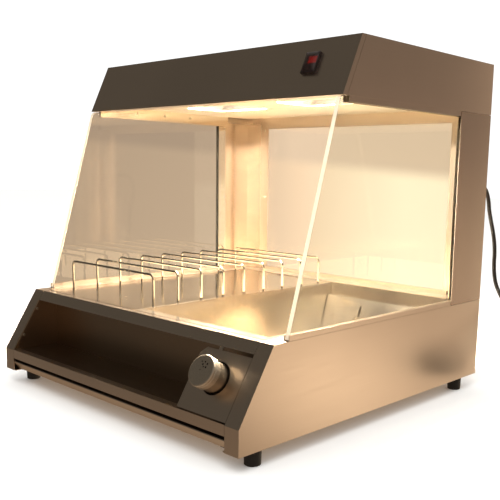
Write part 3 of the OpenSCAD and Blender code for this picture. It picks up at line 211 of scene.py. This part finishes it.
def brushed_steel(name, colour, axis, rough=(0.28, 0.32), relief=0.006, cloud=0.05, stretch_by=0.0):
    """430 stainless sheet with a belt-brushed finish. Lines run along one axis and soften what it
    mirrors; slow clouding comes from handling. A real brush line is about 0.1 mm wide, too fine to
    show, so it is drawn at the grain width."""
    s = bpy.context.scene.case_steel
    mat, tree = new_material(name)
    place = add_node(tree, "ShaderNodeTexCoord")
    across, along = 1 / s.grain_width, 1 / s.grain_length
    stretch = [across, across, across]
    stretch["XYZ".index(axis)] = along
    lines_place = add_node(tree, "ShaderNodeMapping", {"Scale": stretch},
                           {"Vector": place.outputs["Object"]})
    lines = add_node(tree, "ShaderNodeTexNoise", {"Scale": 1.0, "Detail": 3.0, "Roughness": 0.65},
                     {"Vector": lines_place.outputs[0]})
    clouds = add_node(tree, "ShaderNodeTexNoise", {"Scale": 5.0, "Detail": 2.0, "Roughness": 0.4},
                      {"Vector": place.outputs["Object"]})
    base = hex_rgb(colour)
    low = tuple(c * (1 - cloud) for c in base[:3]) + (1.0,)
    tone = add_node(tree, "ShaderNodeValToRGB", {"stops": [(0.35, low), (0.65, base)]},
                    {0: clouds.outputs["Fac"]})
    line_tone = add_node(tree, "ShaderNodeValToRGB", {"stops": [(0.3, grey(0.975)), (0.7, grey(1.0))]},
                         {0: lines.outputs["Fac"]})
    mixed = add_node(tree, "ShaderNodeMix", {"data_type": "RGBA", "blend_type": "MULTIPLY", 0: 1.0},
                     {6: tone.outputs[0], 7: line_tone.outputs[0]})
    gloss = add_node(tree, "ShaderNodeMapRange", {"From Min": 0.3, "From Max": 0.7,
                                                  "To Min": rough[0], "To Max": rough[1]},
                     {"Value": lines.outputs["Fac"]})
    bump = add_node(tree, "ShaderNodeBump", {"Strength": relief, "Distance": 0.0002},
                    {"Height": lines.outputs["Fac"]})
    links = {"Base Color": mixed.outputs[2], "Roughness": gloss.outputs[0], "Normal": bump.outputs[0]}
    if stretch_by:
        around = add_node(tree, "ShaderNodeTangent", {"direction_type": "RADIAL", "axis": "Z"})
        links["Tangent"] = around.outputs[0]
    shader = add_node(tree, "ShaderNodeBsdfPrincipled",
                      {"Metallic": 1.0, "Anisotropic": stretch_by,
                       "Anisotropic Rotation": 0.25 if stretch_by else 0.0},
                      links)
    return finish_material(mat, tree, shader)


def bright_steel(name, colour, axis, rough=(0.16, 0.24)):
    """Bright annealed stainless. Rolled between polished rolls, so it mirrors softly, with faint
    roll lines, drawn coarser than real ones so that they show, and a slow waviness from pressing."""
    s = bpy.context.scene.case_steel
    mat, tree = new_material(name)
    place = add_node(tree, "ShaderNodeTexCoord")
    stretch = [1 / (1.6 * MM)] * 3
    stretch["XYZ".index(axis)] = 1 / (160 * MM)
    lines_place = add_node(tree, "ShaderNodeMapping", {"Scale": stretch},
                           {"Vector": place.outputs["Object"]})
    lines = add_node(tree, "ShaderNodeTexNoise", {"Scale": 1.0, "Detail": 2.0},
                     {"Vector": lines_place.outputs[0]})
    waves = add_node(tree, "ShaderNodeTexNoise", {"Scale": 9.0, "Detail": 1.0},
                     {"Vector": place.outputs["Object"]})
    base = hex_rgb(colour)
    low = tuple(c * 0.93 for c in base[:3]) + (1.0,)
    tone = add_node(tree, "ShaderNodeValToRGB", {"stops": [(0.3, low), (0.7, base)]},
                    {0: lines.outputs["Fac"]})
    gloss = add_node(tree, "ShaderNodeMapRange", {"From Min": 0.3, "From Max": 0.7,
                                                  "To Min": rough[0], "To Max": rough[1]},
                     {"Value": waves.outputs["Fac"]})
    bump = add_node(tree, "ShaderNodeBump", {"Strength": 0.25, "Distance": 0.0015},
                    {"Height": waves.outputs["Fac"]})
    shader = add_node(tree, "ShaderNodeBsdfPrincipled", {"Metallic": 1.0},
                      {"Base Color": tone.outputs[0], "Roughness": gloss.outputs[0], "Normal": bump.outputs[0]})
    return finish_material(mat, tree, shader)


def plain_metal(name, colour, rough, fleck_mm=1.5):
    """Drawn, turned or plated metal with a fine unevenness left by the die or the tool."""
    mat, tree = new_material(name)
    place = add_node(tree, "ShaderNodeTexCoord")
    fleck = add_node(tree, "ShaderNodeTexNoise", {"Scale": 1 / (fleck_mm * MM), "Detail": 2.0},
                     {"Vector": place.outputs["Object"]})
    base = hex_rgb(colour)
    low = tuple(c * 0.85 for c in base[:3]) + (1.0,)
    tone = add_node(tree, "ShaderNodeValToRGB", {"stops": [(0.35, low), (0.65, base)]},
                    {0: fleck.outputs["Fac"]})
    gloss = add_node(tree, "ShaderNodeMapRange", {"To Min": rough * 0.8, "To Max": rough * 1.25},
                     {"Value": fleck.outputs["Fac"]})
    shader = add_node(tree, "ShaderNodeBsdfPrincipled", {"Metallic": 1.0},
                      {"Base Color": tone.outputs[0], "Roughness": gloss.outputs[0]})
    return finish_material(mat, tree, shader)


def moulded(name, colour, rough, grain_mm=0.8, relief=0.2, extra=None):
    """Moulded plastic or rubber: one colour all through, with the fine texture of its mould."""
    mat, tree = new_material(name)
    place = add_node(tree, "ShaderNodeTexCoord")
    grain = add_node(tree, "ShaderNodeTexNoise", {"Scale": 1 / (grain_mm * MM), "Detail": 2.0},
                     {"Vector": place.outputs["Object"]})
    base = hex_rgb(colour)
    low = tuple(c * 0.75 for c in base[:3]) + (1.0,)
    tone = add_node(tree, "ShaderNodeValToRGB", {"stops": [(0.3, low), (0.7, base)]},
                    {0: grain.outputs["Fac"]})
    gloss = add_node(tree, "ShaderNodeMapRange", {"To Min": rough * 0.85, "To Max": min(1.0, rough * 1.15)},
                     {"Value": grain.outputs["Fac"]})
    bump = add_node(tree, "ShaderNodeBump", {"Strength": relief, "Distance": 0.0002},
                    {"Height": grain.outputs["Fac"]})
    shader = add_node(tree, "ShaderNodeBsdfPrincipled", dict(extra or {}),
                      {"Base Color": tone.outputs[0], "Roughness": gloss.outputs[0], "Normal": bump.outputs[0]})
    return finish_material(mat, tree, shader)


def clear_glass(name):
    """Toughened soda-lime float glass: clear, flat and glossy, a little waviness from the furnace rolls."""
    mat, tree = new_material(name)
    place = add_node(tree, "ShaderNodeTexCoord")
    waves = add_node(tree, "ShaderNodeTexNoise", {"Scale": 4.0, "Detail": 0.0},
                     {"Vector": place.outputs["Object"]})
    bump = add_node(tree, "ShaderNodeBump", {"Strength": 0.02, "Distance": 0.001},
                    {"Height": waves.outputs["Fac"]})
    shader = add_node(tree, "ShaderNodeBsdfPrincipled",
                      {"Base Color": hex_rgb(bpy.context.scene.case_glass.body), "Roughness": 0.0, "IOR": 1.5,
                       "Transmission Weight": 1.0}, {"Normal": bump.outputs[0]})
    return finish_material(mat, tree, shader)


def glowing(name, colour, strength):
    """Quartz tube round a hot filament. It gives the eye one even, dazzling glow along its length."""
    mat, tree = new_material(name)
    shader = add_node(tree, "ShaderNodeBsdfPrincipled",
                      {"Base Color": hex_rgb(colour), "Roughness": 0.1, "Emission Color": hex_rgb(colour),
                       "Emission Strength": strength})
    return finish_material(mat, tree, shader)


def lit_rocker():
    """Polycarbonate rocker: its upper half is clear red over a neon lamp, its lower half is black."""
    low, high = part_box("switch_rocker")
    middle = (low.z + high.z) / 2
    mat, tree = new_material("red and black polycarbonate rocker")
    place = add_node(tree, "ShaderNodeTexCoord")
    split = add_node(tree, "ShaderNodeSeparateXYZ", None, {0: place.outputs["Object"]})
    half = add_node(tree, "ShaderNodeMapRange", {"From Min": middle - 0.6 * MM, "From Max": middle + 0.6 * MM},
                    {"Value": split.outputs["Z"]})
    # painted highlights: this noise brightens and dims the red glow in small patches
    lines = add_node(tree, "ShaderNodeTexNoise", {"Scale": 1 / (2.5 * MM), "Detail": 1.0},
                     {"Vector": place.outputs["Object"]})
    colour = add_node(tree, "ShaderNodeValToRGB",
                      {"stops": [(0.3, hex_rgb("#0E0B0A")), (0.7, hex_rgb("#C2180E"))]},
                      {0: half.outputs[0]})
    glow = add_node(tree, "ShaderNodeValToRGB", {"stops": [(0.3, grey(0.0)), (0.7, hex_rgb("#FF2410"))]},
                    {0: half.outputs[0]})
    painted_glow_highlights = add_node(tree, "ShaderNodeValToRGB", {"stops": [(0.35, grey(0.55)), (0.65, grey(1.0))]},
                       {0: lines.outputs["Fac"]})
    shown = add_node(tree, "ShaderNodeMix", {"data_type": "RGBA", "blend_type": "MULTIPLY", 0: 1.0},
                     {6: glow.outputs[0], 7: painted_glow_highlights.outputs[0]})
    shader = add_node(tree, "ShaderNodeBsdfPrincipled", {"Roughness": 0.15, "Emission Strength": 2.2},
                      {"Base Color": colour.outputs[0], "Emission Color": shown.outputs[2]})
    return finish_material(mat, tree, shader)


# ---------------------------------------------------------------- pieces

class CASE_OT_camera(bpy.types.Operator):
    """Place the camera"""
    bl_idname = "display_case.camera"
    bl_label = "Camera"

    def execute(self, context):
        s = context.scene.case_camera
        data = bpy.data.cameras.new("case_camera")
        camera = bpy.data.objects.new("case_camera", data)
        context.scene.collection.objects.link(camera)
        data.lens = s.lens
        data.sensor_width = 36
        data.shift_x, data.shift_y = s.shift
        data.clip_start, data.clip_end = 0.05, 60
        turn = Matrix.Rotation(s.turn, 4, "Z")
        tip = Matrix.Rotation(math.pi / 2 - s.tip, 4, "X")
        roll = Matrix.Rotation(s.roll, 4, "Z")
        camera.matrix_world = Matrix.Translation(s.place) @ turn @ tip @ roll
        context.scene.camera = camera
        return {"FINISHED"}


# Route of the hanging cord in millimetres, X and Y from the gland's seat, Z from the counter
HANG = [
    (0, 42, 395), (0, 58, 395), (0, 72, 390), (0, 83, 379), (1, 89, 363), (3, 91, 344), (8, 91, 324),
    (14, 90, 304), (19, 89, 283), (22, 88, 261), (23, 87, 239), (25, 87, 217), (30, 86, 198), (40, 84, 180),
    (53, 81, 162), (66, 77, 142), (77, 71, 120), (87, 64, 97), (95, 56, 73), (103, 47, 50), (114, 36, 30),
    (129, 24, 14), (147, 11, 5), (166, 1, 4)]
GLAND_X = 0.288
COIL_OFFSET = (182, 49)
PLUG_AXIS_Z = 18.5
COIL_TAIL = 32


def coil_points(radius, gap, diameter):
    """Turns of the coil, outer then inner in each layer."""
    # (angle in turns from the first touch, radius, height)
    marks = [(0.0, radius, 0), (0.92, radius, 0), (1.08, radius - gap, 0), (1.92, radius - gap, 0),
             (2.08, radius - gap, 1), (2.92, radius - gap, 1), (3.08, radius, 1), (3.92, radius, 1),
             (4.08, radius, 2), (4.25, radius, 2)]
    points = []
    steps = 16
    for i in range(int(4.25 * steps) + 1):
        at = i / steps
        for a, b in zip(marks, marks[1:]):
            if a[0] <= at <= b[0]:
                f = (at - a[0]) / (b[0] - a[0])
                f = f * f * (3 - 2 * f)
                r = a[1] + (b[1] - a[1]) * f
                layer = a[2] + (b[2] - a[2]) * f
                break
        angle = 2 * math.pi * at - math.pi / 2
        points.append((r * math.cos(angle), r * math.sin(angle), diameter * (0.5 + 1.01 * layer)))
    return points


def tube_curve(name, points, radius, material):
    """A round tube on a smooth curve through the points."""
    curve = bpy.data.curves.new(name, "CURVE")
    curve.dimensions = "3D"
    curve.bevel_depth = radius
    curve.bevel_resolution = 4
    curve.resolution_u = 4
    curve.use_fill_caps = True
    spline = curve.splines.new("BEZIER")
    spline.bezier_points.add(len(points) - 1)
    for point, place in zip(spline.bezier_points, points):
        point.co = place
        point.handle_left_type = point.handle_right_type = "AUTO"
    curve.materials.append(material)
    obj = bpy.data.objects.new(name, curve)
    bpy.context.scene.collection.objects.link(obj)
    return obj


class CASE_OT_cord(bpy.types.Operator):
    """Build the mains cord, its coil, gland and plug"""
    bl_idname = "display_case.cord"
    bl_label = "Mains Cord"

    def execute(self, context):
        s = context.scene.case_cord
        rubber = moulded("cord sheath, extruded PVC", "#17130F", 0.38, 0.6, 0.1)
        start = Vector((GLAND_X, REAR, 0))
        hang = [start + Vector(p) * MM for p in HANG]
        centre = start + Vector((COIL_OFFSET[0], COIL_OFFSET[1], 0)) * MM
        turns = [centre + Vector(p) for p in coil_points(s.coil_radius, s.turn_gap, s.diameter)]
        last = turns[-1]
        out = [centre + Vector((s.coil_radius, y * MM, z * MM))
               for y, z in ((10, 20.0), (20, 19.2), (COIL_TAIL, PLUG_AXIS_Z))]
        points = hang + turns + out
        cord = tube_curve("mains_cord", points, s.diameter / 2, rubber)
        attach(cord, CASE)
        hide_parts("cord", "cord_coil")
        dress(moulded("plug and strain relief, moulded PVC", "#1C1916", 0.45, 1.2, 0.25),
              "cord_gland", "mains_plug")
        return {"FINISHED"}


class CASE_OT_panels(bpy.types.Operator):
    """Brushed outer panels"""
    bl_idname = "display_case.panels"
    bl_label = "Outer Panels"

    def execute(self, context):
        colour = context.scene.case_steel.panel
        sideways = brushed_steel("brushed stainless, lines front to back", colour, "Y")
        level = brushed_steel("brushed stainless, lines left to right", colour, "X")
        upright = brushed_steel("brushed stainless, lines round the column", colour, "X",
                                (0.20, 0.27), 0.01, 0.08, 0.8)
        dress(sideways, "base_side_left", "base_side_right", "hood_side_left", "hood_side_right",
              "base_glass_rails",
              "top_glass_rails")
        trim = brushed_steel("brushed stainless, front trim", colour, "X", (0.19, 0.23))
        dress(trim, "front_top_rail")
        dress(level, "hood_front", "hood_top", "hood_rear_panel", "base_rear_panel",
              "lower_front_rail", "shaker_holder", "crumb_tray", "deck_frame", "heater_tray", "base_floor",
              "rear_glass_frame")
        dress(upright, "column_left", "column_right", "wiring_duct")
        # painted shade: the recess liner is the panels' brushed stainless given a darker colour, for the shade
        # inside the recess
        recess = brushed_steel("brushed stainless shelf liner, painted shade", "#9C8B78", "X", (0.3, 0.42))
        dress(recess, "storage_recess")
        # painted shade: the tray runners get a near-black steel colour for the shadow under the crumb tray
        dress(brushed_steel("tray runner steel, painted shade", "#3A3632", "Y", (0.4, 0.55)), "tray_runners")
        return {"FINISHED"}


class CASE_OT_inside(bpy.types.Operator):
    """Bright inner steel, rack, pan and ramp"""
    bl_idname = "display_case.inside"
    bl_label = "Inside"

    def execute(self, context):
        colour = context.scene.case_steel.bright
        deck = bright_steel("bright annealed stainless, deck", colour, "Y", (0.10, 0.16))
        pan = bright_steel("bright annealed stainless, pressed pan", colour, "X", (0.16, 0.22))
        dress(deck, "rack_deck", "side_glass_clamps")
        dress(pan, "chip_pan", "chip_ramp")
        dress(bright_steel("bright annealed stainless, ceiling", colour, "X", (0.42, 0.5)), "hood_ceiling")
        wire = plain_metal("nickel-chrome plated wire", "#D8D2C6", 0.12, 3.0)
        hoops = [f"hoop_{i}" for i in range(1, 10)]
        dress(wire, *hoops)
        dress(plain_metal("zinc plated screw steel", "#C9C0B2", 0.3, 1.0), "screws")
        dress(plain_metal("oxidised heater sheath", "#5A514A", 0.5, 2.0), "base_heater")
        return {"FINISHED"}


class CASE_OT_glass(bpy.types.Operator):
    """Glass panes and their ground edges"""
    bl_idname = "display_case.glass"
    bl_label = "Glass"

    def execute(self, context):
        s = context.scene.case_glass
        glass = clear_glass("toughened clear glass")
        dress(glass, "side_glass_left", "side_glass_right", "rear_glass")
        for name in ("side_glass_left", "side_glass_right", "rear_glass"):
            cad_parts[name].visible_shadow = False
        # pale colour of a ground edge, with a faint warm emission added: painted glow of lamp light caught in
        # the edge
        edge = moulded("ground glass edge with painted lamp glow", s.edge, 0.5, 0.6, 0.1,
                       {"Transmission Weight": 0.4, "IOR": 1.5, "Emission Color": hex_rgb("#FFDDB0"),
                        "Emission Strength": 0.12})
        for name in ("side_glass_left", "side_glass_right"):
            ground_edge(name, edge)
        return {"FINISHED"}


def ground_edge(node, material):
    """A thin band on the leaning front edge of a side glass."""
    low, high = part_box(node)
    # outline of the edge from the foot of the pane up to and round the corner
    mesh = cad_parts[node].data
    outline = sorted({(round(v.co.y, 5), round(v.co.z, 5)) for v in mesh.vertices})
    front = [p for p in outline if p[0] < high.y - 0.2]
    front.sort(key=lambda p: p[1])
    x0, x1 = low.x + 0.0004, high.x - 0.0004
    rings = []
    for i, (y, z) in enumerate(front):
        y0, z0 = front[max(i - 1, 0)]
        y1, z1 = front[min(i + 1, len(front) - 1)]
        t = Vector((y1 - y0, z1 - z0)).normalized()
        n = Vector((-t.y, t.x))
        out = Vector((y, z)) + n * 0.0003
        inn = Vector((y, z)) - n * 0.0002
        rings.append([(x0, out.x, out.y), (x1, out.x, out.y), (x1, inn.x, inn.y), (x0, inn.x, inn.y)])
    verts, faces = bar_mesh(rings)
    make_piece(node + "_edge", verts, faces, material)


class CASE_OT_lamps(bpy.types.Operator):
    """Heat lamps, their reflectors and the light they throw"""
    bl_idname = "display_case.lamps"
    bl_label = "Heat Lamps"

    def execute(self, context):
        s = context.scene.case_lamp
        dress(plain_metal("anodised aluminium reflector", "#F1EEE6", 0.22, 4.0), "lamp_reflectors")
        dress(glowing("lit quartz lamp tube", "#FFE2B4", s.tube_strength), "heat_lamps")
        dress(moulded("glazed steatite lamp holder", "#EFE9DC", 0.35, 3.0, 0.1), "lamp_holders")
        dress(moulded("phenolic thermostat body", "#201B18", 0.5), "limit_thermostat")
        dress(moulded("fibreglass wire sleeve", "#2A2724", 0.8, 1.0, 0.4), "wiring")
        low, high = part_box("heat_lamps")
        for side, name in ((-1, "left"), (1, "right")):
            data = bpy.data.lights.new("lamp_light_" + name, "AREA")
            data.shape = "RECTANGLE"
            data.size, data.size_y = 0.104, 0.014
            data.energy = s.power
            data.color = hex_rgb(s.colour)[:3]
            light = bpy.data.objects.new("lamp_light_" + name, data)
            context.scene.collection.objects.link(light)
            light.location = (side * 0.128, (low.y + high.y) / 2, low.z - 0.001)
        # added light that stands for what the deck and the pan send back up; no real lamp is here
        data = bpy.data.lights.new("deck_bounce", "AREA")
        data.shape = "RECTANGLE"
        data.size, data.size_y = 0.56, 0.40
        data.energy = s.bounce
        data.color = hex_rgb("#FFE0B0")[:3]
        light = bpy.data.objects.new("deck_bounce", data)
        context.scene.collection.objects.link(light)
        light.location = (0, (low.y + high.y) / 2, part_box("rack_deck")[1].z + 2 * MM)
        light.rotation_euler = (math.pi, 0, 0)
        light.visible_camera = light.visible_transmission = False
        return {"FINISHED"}


class CASE_OT_switch(bpy.types.Operator):
    """Rocker switch and its splash cover"""
    bl_idname = "display_case.switch"
    bl_label = "Switch"

    def execute(self, context):
        dress(moulded("black nylon bezel", "#14110F", 0.35), "switch_bezel")
        dress(lit_rocker(), "switch_rocker")
        cover = moulded("clear PVC splash cover", "#5E4742", 0.08, 4.0, 0.05,
                        {"Transmission Weight": 0.92, "IOR": 1.42})
        dress(cover, "switch_boot")
        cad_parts["switch_boot"].visible_shadow = False
        return {"FINISHED"}


class CASE_OT_shaker(bpy.types.Operator):
    """Shaker with its cap"""
    bl_idname = "display_case.shaker"
    bl_label = "Shaker"

    def execute(self, context):
        dress(plain_metal("spun stainless shaker", "#B9AE9C", 0.34, 2.0), "shaker_body")
        dress(plain_metal("brushed stainless cap", "#E4DBCB", 0.42, 1.2), "shaker_cap")
        return {"FINISHED"}


class CASE_OT_feet(bpy.types.Operator):
    """Rubber feet"""
    bl_idname = "display_case.feet"
    bl_label = "Feet"

    def execute(self, context):
        rubber = moulded("moulded nitrile foot", "#121212", 0.6, 1.0, 0.3)
        feet = [f"foot_{a}_{b}" for a in ("front", "rear") for b in ("left", "right")]
        dress(rubber, *feet)
        return {"FINISHED"}


# ---------------------------------------------------------------- stage

def stage_plane(name, corners, material):
    mesh = bpy.data.meshes.new(name)
    mesh.from_pydata(corners, [], [(0, 1, 2, 3)])
    mesh.materials.append(material)
    obj = bpy.data.objects.new(name, mesh)
    bpy.context.scene.collection.objects.link(obj)
    return obj


def studio_surround():
    """Painted surround that steel mirrors and glass lets through, hidden from the camera. Its bands,
    bright patch and dark side are placed for the main view; it isn't plain studio light."""
    mat, tree = new_material("studio surround")
    place = add_node(tree, "ShaderNodeTexCoord")
    unit = add_node(tree, "ShaderNodeVectorMath", {"operation": "NORMALIZE"},
                    {0: place.outputs["Object"]})
    split = add_node(tree, "ShaderNodeSeparateXYZ", None, {0: unit.outputs[0]})
    rise = add_node(tree, "ShaderNodeMapRange", {"From Min": -1.0, "From Max": 1.0},
                    {"Value": split.outputs["Z"]})
    bands = add_node(tree, "ShaderNodeValToRGB", {"stops": [
        (0.0, hex_rgb("#716252")), (0.30, hex_rgb("#554638")), (0.345, hex_rgb("#5D4D3F")),
        (0.395, hex_rgb("#776453")), (0.45, hex_rgb("#7D6A58")), (0.50, hex_rgb("#695849")),
        (0.56, hex_rgb("#4D4038")), (0.66, hex_rgb("#493F36")), (1.0, hex_rgb("#6C6A66"))]},
        {0: rise.outputs[0]})
    # the brightest patch of the lit floor beyond the right-hand side
    beyond = add_node(tree, "ShaderNodeVectorMath",
                      {"operation": "DOT_PRODUCT", 1: tuple(Vector((0.665, 0.70, -0.255)).normalized())},
                      {0: unit.outputs[0]})
    patch = add_node(tree, "ShaderNodeMapRange",
                     {"From Min": 0.991, "From Max": 1.0, "To Max": 1.0, "interpolation_type": "SMOOTHSTEP"},
                     {"Value": beyond.outputs["Value"]})
    lifted = add_node(tree, "ShaderNodeMix", {"data_type": "RGBA", 7: hex_rgb("#FBDEBC")},
                      {0: patch.outputs[0], 6: bands.outputs[0]})
    near = add_node(tree, "ShaderNodeVectorMath",
                    {"operation": "DOT_PRODUCT", 1: tuple(Vector((-0.67, -0.58, 0.46)).normalized())},
                    {0: unit.outputs[0]})
    shade = add_node(tree, "ShaderNodeMapRange",
                     {"From Min": 0.50, "From Max": 0.86, "interpolation_type": "SMOOTHSTEP"},
                     {"Value": near.outputs["Value"]})
    dark = add_node(tree, "ShaderNodeMix", {"data_type": "RGBA", 7: hex_rgb("#332F2A")},
                    {0: shade.outputs[0], 6: lifted.outputs[2]})
    glow = add_node(tree, "ShaderNodeEmission", {"Strength": 3.0}, {"Color": dark.outputs[2]})
    return finish_material(mat, tree, glow)


def lit_wall():
    """Painted wall behind the case, seen only through glass and in steel: warm below a soft, slightly
    sloping shadow line. It is placed for the main view; it isn't a plain backdrop."""
    mat, tree = new_material("wall with painted lamp light and hood shadow")
    place = add_node(tree, "ShaderNodeTexCoord")
    split = add_node(tree, "ShaderNodeSeparateXYZ", None, {0: place.outputs["Object"]})
    # painted shadow of the hood's lip: darker above a soft line that slopes a little along X
    tilt = add_node(tree, "ShaderNodeMath", {"operation": "MULTIPLY_ADD", 1: 0.07},
                    {0: split.outputs["X"], 2: split.outputs["Z"]})
    hood_shadow_line = add_node(tree, "ShaderNodeMapRange",
                    {"From Min": 0.375, "From Max": 0.425, "To Min": 0.0, "To Max": 1.0,
                     "interpolation_type": "SMOOTHSTEP"},
                    {"Value": tilt.outputs[0]})
    # painted lamp light: both tones grow brighter and warmer towards the case
    side = add_node(tree, "ShaderNodeMapRange", {"From Min": -2.2, "From Max": -0.1},
                    {"Value": split.outputs["X"]})
    below = add_node(tree, "ShaderNodeValToRGB", {"stops": [
        (0.0, hex_rgb("#9C8671")), (0.5, hex_rgb("#A7907A")),
        (0.72, hex_rgb("#E0C1A2")), (0.92, hex_rgb("#FBE4C5"))]}, {0: side.outputs[0]})
    above = add_node(tree, "ShaderNodeValToRGB", {"stops": [
        (0.0, hex_rgb("#937F6D")), (0.5, hex_rgb("#988370")),
        (0.7, hex_rgb("#D0B59B"))]}, {0: side.outputs[0]})
    mixed = add_node(tree, "ShaderNodeMix", {"data_type": "RGBA"},
                     {0: hood_shadow_line.outputs[0], 6: below.outputs[0], 7: above.outputs[0]})
    glow = add_node(tree, "ShaderNodeEmission", {"Strength": 1.5}, {"Color": mixed.outputs[2]})
    return finish_material(mat, tree, glow)


def only_seen_by(obj, *rays):
    for ray in ("camera", "diffuse", "glossy", "transmission", "volume_scatter", "shadow"):
        setattr(obj, "visible_" + ray, ray in rays)


class CASE_OT_stage(bpy.types.Operator):
    """Floor, surroundings and soft light"""
    bl_idname = "display_case.stage"
    bl_label = "Stage"

    def execute(self, context):
        s = context.scene.case_stage
        mat, tree = new_material("seamless white paper")
        shader = add_node(tree, "ShaderNodeBsdfPrincipled",
                          {"Base Color": hex_rgb(s.floor), "Roughness": 0.9})
        finish_material(mat, tree, shader)
        reach = 12
        corners = [(-reach, -reach, 0), (reach, -reach, 0), (reach, reach, 0), (-reach, reach, 0)]
        floor = stage_plane("floor", corners, mat)
        only_seen_by(floor, "camera", "diffuse", "shadow")
        wall_y = REAR + 0.6
        left, right, low, high = -3.5, 0.6, -2.5, 1.6
        corners = [(left, wall_y, low), (right, wall_y, low), (right, wall_y, high), (left, wall_y, high)]
        wall = stage_plane("wall", corners, lit_wall())
        only_seen_by(wall, "transmission", "glossy")
        dome_mesh = bpy.data.meshes.new("surround")
        shell = bmesh.new()
        bmesh.ops.create_icosphere(shell, subdivisions=4, radius=6)
        shell.to_mesh(dome_mesh)
        shell.free()
        dome_mesh.materials.append(studio_surround())
        dome = bpy.data.objects.new("surround", dome_mesh)
        context.scene.collection.objects.link(dome)
        only_seen_by(dome, "glossy", "transmission")
        world = bpy.data.worlds.new("studio air")
        world.use_nodes = True
        world.node_tree.nodes.clear()
        air = add_node(world.node_tree, "ShaderNodeBackground", {"Color": (1, 1, 1, 1), "Strength": s.air})
        out = add_node(world.node_tree, "ShaderNodeOutputWorld")
        world.node_tree.links.new(air.outputs[0], out.inputs[0])
        world.cycles_visibility.glossy = False
        world.cycles_visibility.transmission = False
        context.scene.world = world
        context.scene.view_settings.view_transform = "Standard"
        key = bpy.data.lights.new("soft_key", "AREA")
        key.shape = "DISK"
        key.size = 2.0
        key.energy = s.key
        light = bpy.data.objects.new("soft_key", key)
        context.scene.collection.objects.link(light)
        light.location = (1.2, -1.6, 3.0)
        light.rotation_euler = (Vector((0, 0, 0.2)) - light.location).to_track_quat("-Z", "Y").to_euler()
        light.visible_glossy = False
        return {"FINISHED"}


OPERATORS = (CASE_OT_camera, CASE_OT_cord, CASE_OT_panels, CASE_OT_inside, CASE_OT_glass, CASE_OT_lamps,
             CASE_OT_switch, CASE_OT_shaker, CASE_OT_feet, CASE_OT_stage)
SETTINGS = (("case_camera", CaseCameraSettings), ("case_steel", CaseSteelSettings),
            ("case_glass", CaseGlassSettings), ("case_lamp", CaseLampSettings),
            ("case_cord", CaseCordSettings), ("case_stage", CaseStageSettings))


class CASE_PT_panel(bpy.types.Panel):
    """Lists the display case's pieces"""
    bl_idname = "CASE_PT_panel"
    bl_label = "Display Case"
    bl_space_type = "VIEW_3D"
    bl_region_type = "UI"
    bl_category = "Display Case"

    def draw(self, context):
        for operator in OPERATORS:
            self.layout.operator(operator.bl_idname)


def register():
    for name, group in SETTINGS:
        bpy.utils.register_class(group)
        setattr(bpy.types.Scene, name, PointerProperty(type=group))
    for operator in OPERATORS:
        bpy.utils.register_class(operator)
    bpy.utils.register_class(CASE_PT_panel)


def unregister():
    bpy.utils.unregister_class(CASE_PT_panel)
    for operator in reversed(OPERATORS):
        bpy.utils.unregister_class(operator)
    for name, group in reversed(SETTINGS):
        delattr(bpy.types.Scene, name)
        bpy.utils.unregister_class(group)


def main():
    register()
    for operator in OPERATORS:
        group, name = operator.bl_idname.split(".")
        getattr(getattr(bpy.ops, group), name)()


if __name__ == "__main__":
    main()
